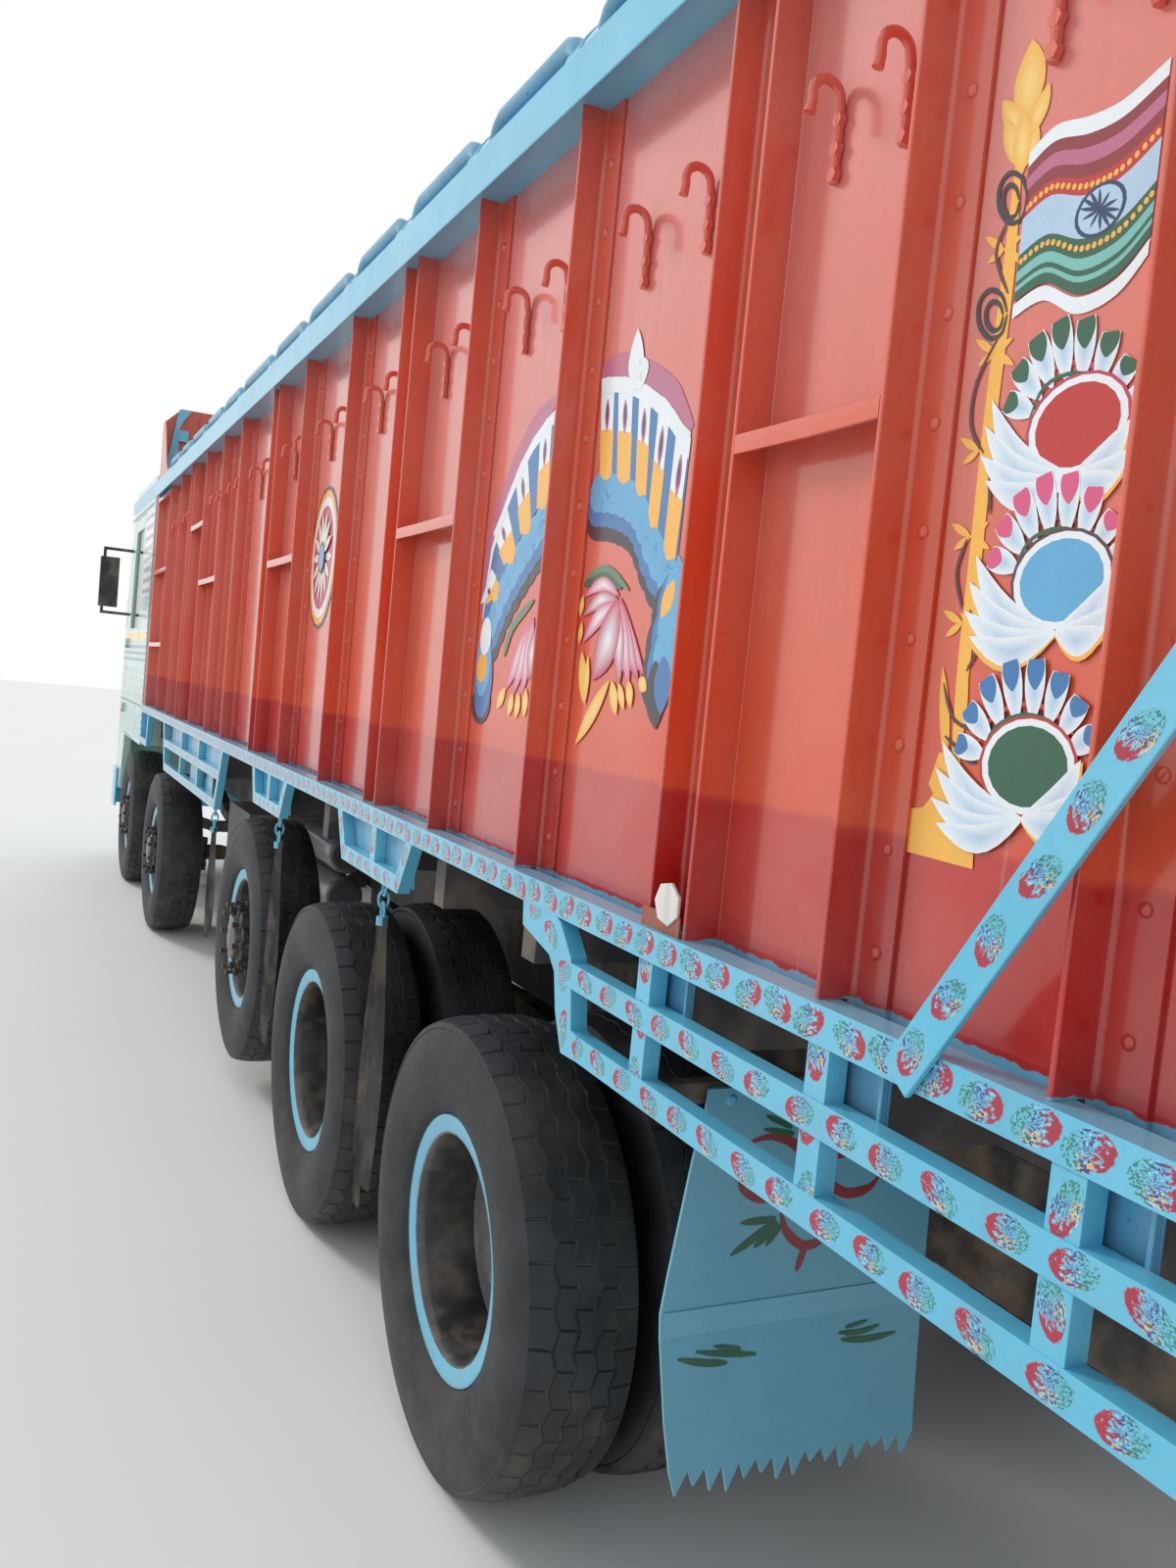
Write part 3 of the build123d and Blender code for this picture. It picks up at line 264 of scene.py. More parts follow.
def newFinish(name, **plain):  # plain values go on the shader's own sockets
    finish = bpy.data.materials.new(name)
    finish.use_nodes = True
    shader = finish.node_tree.nodes["Principled BSDF"]
    for socket, value in plain.items():
        shader.inputs[socket.replace("_", " ")].default_value = value
    return finish, finish.node_tree, shader


def dress(tree, shader, colour, roughness=None, height=None, strength=0.6, distance=0.0012):
    tree.links.new(colour, shader.inputs["Base Color"])
    if roughness is not None:
        tree.links.new(roughness, shader.inputs["Roughness"])
    if height is not None:
        relief = addNode(tree, "ShaderNodeBump", {"Height": height, "Strength": strength,
                                                  "Distance": distance})
        tree.links.new(relief.outputs[0], shader.inputs["Normal"])


def effect(tree, group, **values):
    inputs = {name.replace("_", " "): value for name, value in values.items()}
    return addNode(tree, "ShaderNodeGroup", inputs, node_tree=group).outputs


def paintFinish(name, colour, faded, fade=0.3, streaks=0.15, chips=0.25, dusty=0.15, rough=0.3, coat=0.5,
                dirt=0.0, clear=1.2, relief=0.0012):
    finish, tree, shader = newFinish(name, Coat_Weight=coat, Coat_Roughness=0.12)
    aged = effect(tree, agedPaint, Colour=colour, Faded=faded, Fade=fade, Streaks=streaks, Chips=chips,
                  Dusty=dusty, Gloss_roughness=rough)
    shown = aged["Colour"]
    if dirt:
        shown = effect(tree, roadDust, Colour=shown, Amount=dirt, Clear_height=clear)["Colour"]
    dress(tree, shader, shown, aged["Roughness"], aged["Height"], 0.6, relief)
    return finish


# finishes

skyPaint = dict(colour=screen(92, 186, 218), faded=screen(140, 206, 226))

skyEnamel = paintFinish("skyEnamel", **skyPaint, fade=0.35, streaks=0.1, chips=0.25, dusty=0.08, rough=0.32)
# a darker copy of the sky-blue enamel: painted shade on the plates and sheets set back behind the guards; on
# the rope rails it is their darker mid-blue
midBlueAndPaintedShade = paintFinish("midBlueAndPaintedShade", screen(78, 150, 186), screen(110, 176, 206), fade=0.5,
                          streaks=0.25, chips=0.5, dusty=0.2, rough=0.42)
orangeEnamel = paintFinish("orangeEnamel", screen(196, 66, 44), screen(208, 98, 80), fade=0.3, streaks=0.2,
                           chips=0.3)
innerSteel = paintFinish("innerSteel", screen(168, 74, 56), screen(150, 110, 96), fade=0.7, streaks=0.5,
                         chips=0.9, dusty=0.6, rough=0.55, coat=0.0)
chassisBlack = paintFinish("chassisBlack", screen(38, 37, 38), screen(66, 62, 60), fade=0.5, streaks=0.2,
                           chips=0.6, dusty=0.5, rough=0.55, coat=0.1, dirt=0.75)
castIron = paintFinish("castIron", screen(46, 44, 44), screen(74, 66, 60), fade=0.6, chips=0.8, dusty=0.6,
                       rough=0.62, coat=0.0, dirt=0.9, relief=0.003)
tankPaint = paintFinish("tankPaint", screen(96, 102, 108), screen(128, 130, 130), fade=0.5, dusty=0.5,
                        rough=0.42, dirt=0.6)
mintPaint = paintFinish("mintPaint", screen(178, 216, 206), screen(206, 226, 220), fade=0.4, streaks=0.25,
                        chips=0.3, dusty=0.15)
whitePaint = paintFinish("whitePaint", screen(226, 226, 218), screen(206, 206, 200), fade=0.4, streaks=0.3)
darkPlastic = paintFinish("darkPlastic", screen(40, 42, 46), screen(70, 72, 76), fade=0.5, chips=0.1,
                          dusty=0.4, rough=0.5, coat=0.0)
seatCloth = paintFinish("seatCloth", screen(92, 34, 40), screen(126, 60, 62), fade=0.6, streaks=0.0,
                        chips=0.0, dusty=0.3, rough=0.85, coat=0.0, relief=0.004)
# dark grey all over: steel on the floor, and painted shade on the bearers beneath the body, whose own paint
# is light blue
floorSteelAndShade = paintFinish("floorSteelAndShade", screen(56, 60, 66), screen(104, 92, 84), fade=0.6, chips=0.4,
                         dusty=0.4, rough=0.6, coat=0.0)
tasselCloth = paintFinish("tasselCloth", screen(40, 42, 46), screen(92, 92, 92), fade=0.7, streaks=0.3,
                          chips=0.0, dusty=0.4, rough=0.9, coat=0.0, relief=0.002)
nutBlack = paintFinish("nutBlack", screen(30, 30, 32), screen(72, 64, 58), fade=0.5, chips=0.7, dusty=0.35,
                       rough=0.4, coat=0.2)


def makeWallEnamel():  # orange-red sides and red foot band, paler towards the top and on the flat panels: partly faded paint, partly painted sky reflection and sheen
    finish, tree, shader = newFinish("wallEnamel", Coat_Weight=0.7, Coat_Roughness=0.09)
    place = objectPlace(tree)
    high = apart(tree, place)["Z"]
    panel = apart(tree, pointColour(tree, "zone"))["X"]
    wander = times(tree, less(tree, cloudy(tree, place, 7.0, 3), 0.5), 0.018)
    band = rise(tree, plus(tree, high, wander), 1.664, 1.648)
    # paler with height, more on the flat panels than on the posts: partly faded paint, partly painted sky
    # reflection
    lift = rise(tree, high, 1.7, 3.0)
    fadeAndSkyReflection = times(tree, lift, calc(tree, "MULTIPLY_ADD", panel, 0.62, 0.14))
    orange = blendColours(tree, fadeAndSkyReflection, screen(214, 76, 40), screen(218, 142, 146))
    # flat panels a lighter orange than the posts above the foot band: painted sheen
    soft = times(tree, panel, times(tree, rise(tree, high, 1.62, 2.1), 0.3))
    orange = blendColours(tree, soft, orange, screen(220, 120, 98))
    # the red band is also paler on the flat panels than on the posts: painted sheen
    red = blendColours(tree, times(tree, panel, 0.3), screen(182, 30, 28), screen(206, 56, 48))
    shown = blendColours(tree, band, orange, red)
    rain = cloudy(tree, place, 1.0, 3, (60, 60, 1.0))
    drip = times(tree, rise(tree, rain, 0.66, 0.74), times(tree, panel, 0.3))
    shown = blendColours(tree, drip, shown, screen(228, 190, 180))
    foot = rise(tree, plus(tree, high, times(tree, cloudy(tree, place, 30.0, 3), 0.02)), 1.4425, 1.440)
    shown = blendColours(tree, times(tree, foot, 0.9), shown, skyPaint["colour"])
    aged = effect(tree, agedPaint, Colour=shown, Faded=screen(216, 140, 126), Fade=0.22, Streaks=0.1,
                  Chips=0.12, Dusty=0.06, Gloss_roughness=0.26)
    dress(tree, shader, aged["Colour"], aged["Roughness"], aged["Height"], 0.5)
    return finish


def makePrinted(name, pitch, halfLength, halfHeight, flip=1.0):  # enamel bar with stamped ovals along its UV
    finish, tree, shader = newFinish(name, Coat_Weight=0.45, Coat_Roughness=0.12)
    place = apart(tree, addNode(tree, "ShaderNodeUVMap", uv_map="UVMap").outputs[0])
    aged = effect(tree, agedPaint, Colour=skyPaint["colour"], Faded=skyPaint["faded"], Fade=0.35,
                  Streaks=0.08, Chips=0.25, Dusty=0.1, Gloss_roughness=0.32)
    stamp = effect(tree, blockPrint, Ground=aged["Colour"], Run=times(tree, place["X"], flip),
                   Across=place["Y"], Pitch=pitch, Half_length=halfLength, Half_height=halfHeight)
    dress(tree, shader, stamp["Colour"], aged["Roughness"], aged["Height"])
    return finish


def makeBrushPaint():  # colours laid by brush, carried on the mesh as paintColor
    finish, tree, shader = newFinish("brushPaint", Coat_Weight=0.5, Coat_Roughness=0.12, Roughness=0.32)
    tone = pointColour(tree, "paintColor")
    place = objectPlace(tree)
    hairs = cloudy(tree, place, 1.0, 4, (150, 150, 150), rough=0.7)
    wash = cloudy(tree, place, 11.0, 4)
    level = calc(tree, "MULTIPLY_ADD", hairs, 0.22, calc(tree, "MULTIPLY_ADD", wash, 0.16, 0.79))
    dress(tree, shader, blendColours(tree, 1.0, tone, evenly(tree, level), "MULTIPLY"), None, hairs, 0.4,
          0.0004)
    return finish


def makeTyreRubber():
    finish, tree, shader = newFinish("tyreRubber", Coat_Weight=0.0)
    zone = apart(tree, pointColour(tree, "zone"))
    grain = effect(tree, rubberGrain, Colour=screen(32, 34, 37), Worn=screen(60, 64, 69))
    place = objectPlace(tree)
    patch = cloudy(tree, place, 4.5, 5)
    groove = times(tree, zone["Y"], times(tree, rise(tree, patch, 0.35, 0.6), 0.75))
    shown = blendColours(tree, groove, grain["Colour"], screen(112, 106, 98))
    tread = times(tree, zone["X"], times(tree, rise(tree, patch, 0.5, 0.7), 0.35))
    shown = blendColours(tree, tread, shown, screen(96, 90, 82))
    dusty = effect(tree, roadDust, Colour=shown, Dust=screen(104, 96, 86), Amount=0.3, Clear_height=0.5,
                   Scale=9.0)
    rough = plus(tree, grain["Roughness"], times(tree, dusty["Mask"], 0.3), clamp=True)
    dress(tree, shader, dusty["Colour"], rough, grain["Height"], 0.55, 0.002)
    return finish


def makeRimPaint(name, ringTone, discTone):  # enamel ring, duller disc, black and dusty inside the barrel
    finish, tree, shader = newFinish(name, Coat_Weight=0.35, Coat_Roughness=0.15)
    zone = apart(tree, pointColour(tree, "zone"))
    place = objectPlace(tree)
    nick = cloudy(tree, place, 60.0, 5, rough=0.7)
    edge = plus(tree, zone["X"], times(tree, less(tree, nick, 0.5), 0.5))
    mud = blendColours(tree, rise(tree, cloudy(tree, place, 14.0, 5), 0.42, 0.66), screen(26, 24, 23),
                       screen(92, 82, 72))
    inner = blendColours(tree, rise(tree, zone["Y"], 0.3, 0.6), mud, discTone)
    shown = blendColours(tree, rise(tree, edge, 0.45, 0.55), inner, ringTone)
    aged = effect(tree, agedPaint, Colour=shown, Faded=screen(150, 160, 168), Fade=0.15, Streaks=0.05,
                  Chips=0.35, Dusty=0.2, Gloss_roughness=0.34)
    dress(tree, shader, aged["Colour"], aged["Roughness"], aged["Height"], 0.6, 0.0015)
    return finish


def makeGlass(name, tone):
    finish, tree, shader = newFinish(name, Roughness=0.05, Transmission_Weight=0.55, IOR=1.45)
    place = objectPlace(tree)
    haze = rise(tree, cloudy(tree, place, 3.0, 5, (1, 1, 0.4)), 0.4, 0.75)
    dress(tree, shader, blendColours(tree, times(tree, haze, 0.4), tone, screen(150, 160, 160)),
          calc(tree, "MULTIPLY_ADD", haze, 0.12, 0.04))
    return finish


wallEnamel = makeWallEnamel()
railPrint = makePrinted("railPrint", 0.077, 0.034, 0.022, -1.0)
guardPrint = makePrinted("guardPrint", 0.093, 0.032, 0.019)
brushPaint = makeBrushPaint()
tyreRubber = makeTyreRubber()
skyRim = makeRimPaint("skyRim", skyPaint["colour"], screen(120, 124, 142))
darkGlass = makeGlass("darkGlass", screen(44, 58, 66))
print("finishes made:", len(bpy.data.materials))


# Geometry Nodes trees for what repeats

def makePlaceTree():  # one piece on every point, turned by the points' "turn"
    inputs = {"Points": "geometry", "Piece": "piece", "Finish": "finish", "Size": 1.0, "Size spread": 0.0,
              "Turn spread": 0.0, "Seed": 3}
    tree, given, made = makeGroup("placeOnPoints", inputs, dict(Geometry="geometry"), "GeometryNodeTree")
    source = addNode(tree, "GeometryNodeObjectInfo", {"Object": given["Piece"]}).outputs["Geometry"]
    turn = addNode(tree, "GeometryNodeInputNamedAttribute", {"Name": "turn"},
                   data_type="FLOAT_VECTOR").outputs[0]
    wobble = addNode(tree, "FunctionNodeRandomValue", {"Seed": given["Seed"]}, data_type="FLOAT_VECTOR")
    tree.links.new(evenly(tree, times(tree, given["Turn spread"], -1.0)), wobble.inputs[0])
    tree.links.new(evenly(tree, given["Turn spread"]), wobble.inputs[1])
    total = addNode(tree, "ShaderNodeVectorMath", {0: turn, 1: wobble.outputs[0]},
                    operation="ADD").outputs[0]
    rotation = addNode(tree, "FunctionNodeEulerToRotation", {0: total}).outputs[0]
    size = addNode(tree, "FunctionNodeRandomValue", {"Seed": given["Seed"]}, data_type="FLOAT")
    tree.links.new(times(tree, given["Size"], less(tree, 1.0, given["Size spread"])), size.inputs[2])
    tree.links.new(times(tree, given["Size"], plus(tree, 1.0, given["Size spread"])), size.inputs[3])
    spread = addNode(tree, "GeometryNodeInstanceOnPoints", {"Points": given["Points"], "Instance": source,
                                                            "Rotation": rotation, "Scale": size.outputs[1]})
    real = addNode(tree, "GeometryNodeRealizeInstances", {0: spread.outputs[0]}).outputs[0]
    done = addNode(tree, "GeometryNodeSetMaterial", {"Geometry": real,
                                                     "Material": given["Finish"]}).outputs[0]
    tree.links.new(done, made[0])
    return tree


def makeRingTree():  # a piece repeated round the Y axis through the points, such as tread segments and nuts
    inputs = {"Points": "geometry", "Piece": "piece", "Finish": "finish", "Count": 8, "Start turn": 0.0,
              "Weld": 0.0}
    tree, given, made = makeGroup("ringOfPieces", inputs, dict(Geometry="geometry"), "GeometryNodeTree")
    source = addNode(tree, "GeometryNodeObjectInfo", {"Object": given["Piece"]}).outputs["Geometry"]
    copies = addNode(tree, "GeometryNodePoints", {"Count": given["Count"]}).outputs[0]
    index = addNode(tree, "GeometryNodeInputIndex").outputs[0]
    turn = plus(tree, given["Start turn"], times(tree, index, calc(tree, "DIVIDE", tau, given["Count"])))
    rotation = addNode(tree, "FunctionNodeEulerToRotation", {0: together(tree, 0.0, turn)}).outputs[0]
    ring = addNode(tree, "GeometryNodeInstanceOnPoints", {"Points": copies, "Instance": source,
                                                          "Rotation": rotation}).outputs[0]
    real = addNode(tree, "GeometryNodeRealizeInstances", {0: ring}).outputs[0]
    joined = addNode(tree, "GeometryNodeMergeByDistance", {"Geometry": real,
                                                           "Distance": given["Weld"]}).outputs[0]
    moved = addNode(tree, "GeometryNodeInstanceOnPoints", {"Points": given["Points"],
                                                           "Instance": joined}).outputs[0]
    flat = addNode(tree, "GeometryNodeRealizeInstances", {0: moved}).outputs[0]
    done = addNode(tree, "GeometryNodeSetMaterial", {"Geometry": flat,
                                                     "Material": given["Finish"]}).outputs[0]
    tree.links.new(done, made[0])
    return tree


placeTree = makePlaceTree()
ringTree = makeRingTree()
patterns = []  # small source meshes, removed at the end


# mesh building

class Shape:
    # points and faces gathered in plain lists, with a tint for each point and UVs for each face
    def __init__(self):
        self.points = []
        self.faces = []
        self.tints = []
        self.uvs = []

    def add(self, points, faces, tints=None, uvs=None):
        start = len(self.points)
        self.points += [tuple(point) for point in points]
        self.faces += [tuple(start + corner for corner in face) for face in faces]
        self.tints += tints if tints else [(0.0, 0.0, 0.0, 1.0)] * len(points)
        self.uvs += uvs if uvs else [None] * len(faces)

    def onSide(self, sign):  # itself on the left, its mirror image on the right
        if sign == 1:
            return self
        twin = Shape()
        twin.points = [(x, -y, z) for x, y, z in self.points]
        twin.faces = [tuple(reversed(face)) for face in self.faces]
        twin.tints = list(self.tints)
        twin.uvs = [tuple(reversed(uv)) if uv else None for uv in self.uvs]
        return twin


def makeObject(name, shape, finish, tintName=None, smooth=32.0, facing=None, joined=0.0):
    # closed shapes get their faces turned outwards; open ones are turned to the facing direction
    mesh = bpy.data.meshes.new(name)
    mesh.from_pydata(shape.points, [], shape.faces)
    if any(shape.uvs):
        layer = mesh.uv_layers.new(name="UVMap")
        flat = []
        for face, uv in zip(shape.faces, shape.uvs):
            for corner in range(len(face)):
                flat += uv[corner] if uv else (0.0, 9.0)
        layer.data.foreach_set("uv", flat)
    if tintName:
        attribute = mesh.color_attributes.new(tintName, "FLOAT_COLOR", "POINT")
        attribute.data.foreach_set("color", [part for tint in shape.tints for part in tint])
    mesh.materials.append(finish)
    build = bmesh.new()
    build.from_mesh(mesh)
    if joined:
        bmesh.ops.remove_doubles(build, verts=build.verts, dist=joined)
    if facing:
        build.normal_update()
        turned = [face for face in build.faces if face.normal.dot(Vector(facing)) < 0]
        bmesh.ops.reverse_faces(build, faces=turned)
    else:
        bmesh.ops.recalc_face_normals(build, faces=build.faces)
    build.to_mesh(mesh)
    build.free()
    piece = bpy.data.objects.new(name, mesh)
    bpy.context.scene.collection.objects.link(piece)
    soften(piece, smooth)
    return piece


def soften(piece, angle):  # smooth shading, sharp only past the angle
    mesh = piece.data
    mesh.polygons.foreach_set("use_smooth", [angle > 0] * len(mesh.polygons))
    if angle > 0:
        mesh.set_sharp_from_angle(angle=radians(angle))


def roundEdges(piece, width, steps=2, angle=30.0):
    bevel = piece.modifiers.new("roundEdges", "BEVEL")
    bevel.width = width
    bevel.segments = steps
    bevel.limit_method = "ANGLE"
    bevel.angle_limit = radians(angle)
    bevel.harden_normals = True
    return piece


def assign(piece, body, slot, *stoodFor):
    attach(piece, body)
    if stoodFor:
        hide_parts(*stoodFor)
    return piece


def pattern(name, shape, tintName=None, smooth=32.0):
    piece = makeObject(name, shape, nutBlack, tintName, smooth)
    patterns.append(piece)
    return piece


def grow(name, tree, values, points=((0.0, 0.0, 0.0),), turns=None):
    mesh = bpy.data.meshes.new(name)
    mesh.from_pydata([tuple(point) for point in points], [], [])
    turning = mesh.attributes.new("turn", "FLOAT_VECTOR", "POINT")
    turns = turns or [(0, 0, 0)] * len(points)
    turning.data.foreach_set("vector", [part for turn in turns for part in turn])
    piece = bpy.data.objects.new(name, mesh)
    bpy.context.scene.collection.objects.link(piece)
    modifier = piece.modifiers.new("grow", "NODES")
    modifier.node_group = tree
    for item in tree.interface.items_tree:
        if item.in_out == "INPUT" and item.name in values:
            modifier[item.identifier] = values[item.name]
    graph = bpy.context.evaluated_depsgraph_get()
    grown = bpy.data.meshes.new_from_object(piece.evaluated_get(graph), preserve_all_data_layers=True,
                                            depsgraph=graph)
    piece.modifiers.clear()
    piece.data = grown
    grown.name = name
    return piece


def copyCad(node, name, finish, body, slot, width=0.003, steps=2):
    # the CAD node's own shape with merged faces and rounded edges
    mesh = nodes[node].data.copy()
    mesh.name = name
    build = bmesh.new()
    build.from_mesh(mesh)
    bmesh.ops.remove_doubles(build, verts=build.verts, dist=0.00002)
    bmesh.ops.dissolve_limit(build, angle_limit=radians(1.0), verts=build.verts, edges=build.edges)
    build.to_mesh(mesh)
    build.free()
    mesh.materials.clear()
    mesh.materials.append(finish)
    piece = bpy.data.objects.new(name, mesh)
    bpy.context.scene.collection.objects.link(piece)
    soften(piece, 32.0)
    if width:
        roundEdges(piece, width, steps)
    return assign(piece, body, slot, node)


def addBox(shape, low, high, tint=None):
    x0, y0, z0 = low
    x1, y1, z1 = high
    points = [(x, y, z) for z in (z0, z1) for y in (y0, y1) for x in (x0, x1)]
    faces = [(0, 2, 3, 1), (4, 5, 7, 6), (0, 1, 5, 4), (2, 6, 7, 3), (0, 4, 6, 2), (1, 3, 7, 5)]
    shape.add(points, faces, [tint] * 8 if tint else None)


def rowFaces(gaps, count, closed=True):  # quads between rows of count points each
    faces = []
    for gap in range(gaps):
        a, b = gap * count, (gap + 1) * count
        for index in range(count if closed else count - 1):
            follow = (index + 1) % count
            faces.append((a + index, a + follow, b + follow, b + index))
    return faces


def addSweep(shape, rings, tint=None):  # rings of points joined in a row, with both ends capped
    count, last = len(rings[0]), (len(rings) - 1) * len(rings[0])
    points = [point for ring in rings for point in ring]
    faces = [tuple(range(count)), tuple(range(last, last + count))] + rowFaces(len(rings) - 1, count)
    shape.add(points, faces, [tint] * len(points) if tint else None)


def addPrism(shape, x, z, y0, y1, radius, sides, tint=None):
    corners = [(x + radius * cos(tau * k / sides), z + radius * sin(tau * k / sides)) for k in range(sides)]
    addSweep(shape, [[(a, y, b) for a, b in corners] for y in (y0, y1)], tint)


def addPlate(shape, outline, y0, y1):  # flat plate with its outline in X and Z
    addSweep(shape, [[(x, y, z) for x, z in outline] for y in (y1, y0)])


def addTurned(shape, profile, centre, steps, tints=None):
    # profile of (radius, y) turned about the Y axis through centre; drawn so that its left side is outward
    cx, cy, cz = centre
    count = len(profile)
    points = []
    faces = []
    for step in range(steps):
        angle = tau * step / steps
        after = (step + 1) % steps
        points += [(cx + radius * cos(angle), cy + y, cz + radius * sin(angle)) for radius, y in profile]
        faces += [(step * count + index, after * count + index, after * count + (index + 1) % count,
                   step * count + (index + 1) % count) for index in range(count)]
    shape.add(points, faces, tints * steps if tints else None)


def addTube(shape, path, radius, sides=8, flat=1.0, tint=None, capped=True):
    # tube along a path of points; radius may be a list, flat squeezes it sideways
    path = [Vector(point) for point in path]
    radii = radius if isinstance(radius, (list, tuple)) else [radius] * len(path)
    points = []
    side = None
    for index, point in enumerate(path):
        ahead = path[min(index + 1, len(path) - 1)] - path[max(index - 1, 0)]
        ahead.normalize()
        if side is None:
            guess = Vector((0, 0, 1)) if abs(ahead.z) < 0.9 else Vector((1, 0, 0))
            side = ahead.cross(guess).normalized()
        side = (side - ahead * side.dot(ahead)).normalized()
        up = side.cross(ahead)
        for corner in range(sides):
            angle = tau * corner / sides
            points.append(point + (side * cos(angle) * flat + up * sin(angle)) * radii[index])
    faces = rowFaces(len(path) - 1, sides)
    if capped:
        faces.append(tuple(reversed(range(sides))))
        faces.append(tuple((len(path) - 1) * sides + corner for corner in range(sides)))
    shape.add(points, faces, [tint] * len(points) if tint else None)


def addBar(shape, line, widths, y0, y1, start=0.0):
    # mitred flat bar along a line in X and Z; its outer face at y1 carries U along and V across in metres
    line = [Vector(point) for point in line]
    if not isinstance(widths, (list, tuple)):
        widths = [widths] * len(line)
    sides = []
    for index, point in enumerate(line):
        before = (point - line[index - 1]).normalized() if index else (line[1] - point).normalized()
        after = (line[index + 1] - point).normalized() if index < len(line) - 1 else before
        normal = Vector((-(before.y + after.y), before.x + after.x)).normalized()
        reach = widths[index] / 2 / max(0.35, normal.dot(Vector((-before.y, before.x))))
        sides.append((point + normal * reach, point - normal * reach))
    points = []
    for left, right in sides:
        points += [(left.x, y1, left.y), (right.x, y1, right.y), (right.x, y0, right.y),
                   (left.x, y0, left.y)]
    faces = []
    uvs = []
    run = start
    for index in range(len(line) - 1):
        length = (line[index + 1] - line[index]).length
        a, b = index * 4, index * 4 + 4
        faces += [(a, a + 1, b + 1, b), (a + 1, a + 2, b + 2, b + 1), (a + 2, a + 3, b + 3, b + 2),
                  (a + 3, a, b, b + 3)]
        w, v = widths[index] / 2, widths[index + 1] / 2
        uvs += [((run, w), (run, -w), (run + length, -v), (run + length, v)), None, None, None]
        run += length
    last = len(line) * 4 - 4
    faces += [(3, 2, 1, 0), (last, last + 1, last + 2, last + 3)]
    uvs += [None, None]
    shape.add(points, faces, None, uvs)
    return run


# places taken from the frame

def middleOf(node):
    low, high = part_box(node)
    return (low + high) / 2


axlePlaces = [middleOf("tyre_" + str(number) + "_left") for number in range(1, 6)]
rowStart = axlePlaces[4].x  # places along the truck are given ahead of the last axle
sideNames = (("left", 1), ("right", -1))


def at(ahead):
    return rowStart + ahead


def putSides(name, shape, finish, slot, node=None, body="root", **options):
    # the left shape and its mirror image, each on its own body where body ends in _
    made = []
    for side, sign in sideNames:
        one = shape.onSide(sign)
        facing = options.get("facing")
        given = dict(options)
        if facing:
            given["facing"] = (facing[0], facing[1] * sign, facing[2])
        bevel = given.pop("bevel", 0)
        piece = makeObject(name + side.capitalize(), one, finish, **given)
        if bevel:
            roundEdges(piece, bevel)
        rides = body + side if body.endswith("_") else body
        stands = [node + side] if node else []
        made.append(assign(piece, rides, slot, *stands))
    return made


# side walls: riveted angles and open channels on sheet panels

wall = dict(panelY=1.138, postY=1.2, innerY=1.128, postFromY=1.15, leg=0.008, base=0.006, footZ=1.402,
            postFootZ=1.4305, topZ=2.965, frontAhead=7.185, rearAhead=-2.55, stepZ=0.078, waveHeight=0.0016,
            rungHeight=0.03, rivetPitch=0.135, rivetBack=0.045, firstRivetZ=1.50)
# each post's place ahead of the last axle, its width along the truck and its kind
wallPosts = [(7.230, .070, "corner"), (6.450, .076, "angle"), (5.880, .076, "angle"),
             (5.400, .127, "channel"), (4.800, .076, "angle"), (4.200, .076, "angle"),
             (3.650, .076, "angle"), (2.900, .127, "channel"), (2.280, .076, "angle"),
             (1.590, .076, "angle"), (1.000, .127, "channel"), (0.385, .076, "angle"),
             (-0.200, .076, "angle"), (-0.790, .127, "channel"), (-1.262, .076, "angle"),
             (-1.662, .076, "angle"), (-2.110, .127, "channel"), (-2.470, .080, "corner")]
# bays by the number of the post ahead, with the height of the rung's foot
wallRungs = [(13, 2.180), (10, 2.185), (7, 2.205), (4, 2.215), (3, 2.555), (0, 2.915), (0, 2.385),
             (0, 1.865), (16, 2.180)]


def panelWave(x, z):  # slow buckles of the sheet between its posts
    return wall["waveHeight"] * (noise.noise(Vector((x * 1.9, z * 1.5, 4.0))) +
                                 0.5 * noise.noise(Vector((x * 4.1, z * 3.2, 9.0))))


def roundedLine(corners):  # corners of (x, y, radius, mark) to points with their corners turned in arcs
    line = []
    for index, (x, y, radius, mark) in enumerate(corners):
        here = Vector((x, y))
        if radius == 0 or index in (0, len(corners) - 1):
            line.append((x, y, mark))
            continue
        back = Vector(corners[index - 1][:2]) - here
        ahead = Vector(corners[index + 1][:2]) - here
        reach = min(radius, back.length * 0.49, ahead.length * 0.49)
        start, end = here + back.normalized() * reach, here + ahead.normalized() * reach
        for step in range(4):
            share = step / 3
            spot = start * (1 - share) ** 2 + here * 2 * share * (1 - share) + end * share ** 2
            line.append((spot.x, spot.y, mark))
    return line


def wallLine():  # outer outline of the wall, seen from above
    panel, post, leg, base = wall["panelY"], wall["postY"], wall["leg"], wall["panelY"] + wall["base"]
    corners = []
    for index, (ahead, width, kind) in enumerate(wallPosts):
        front = at(min(ahead, wall["frontAhead"]))
        rear = at(max(ahead - width, wall["rearAhead"]))
        if kind == "corner":
            corners += [(front, panel, 0, 0), (front, post, .004, 0), (rear, post, .004, 0),
                        (rear, panel, .004, 0)]
        else:
            corners += [(front, panel, .002, 0), (front, post, .0025, 0), (front - leg, post, .0025, 0),
                        (front - leg, base, .009, 0)]
            if kind == "channel":
                corners += [(rear + leg, base, .009, 0), (rear + leg, post, .0025, 0),
                            (rear, post, .0025, 0), (rear, panel, .002, 0)]
            else:
                corners += [(rear, base, .0012, 0), (rear, panel - .002, 0, 0),
                            (rear - .0035, panel - .002, 0, 0), (rear - .0035, panel, 0, 1)]
        if index < len(wallPosts) - 1:
            follow = at(wallPosts[index + 1][0])
            count = max(2, round((rear - follow) / 0.075))
            for step in range(1, count):
                corners.append((rear + (follow - rear) * step / count, panel, 0, 1))
    return roundedLine(corners)


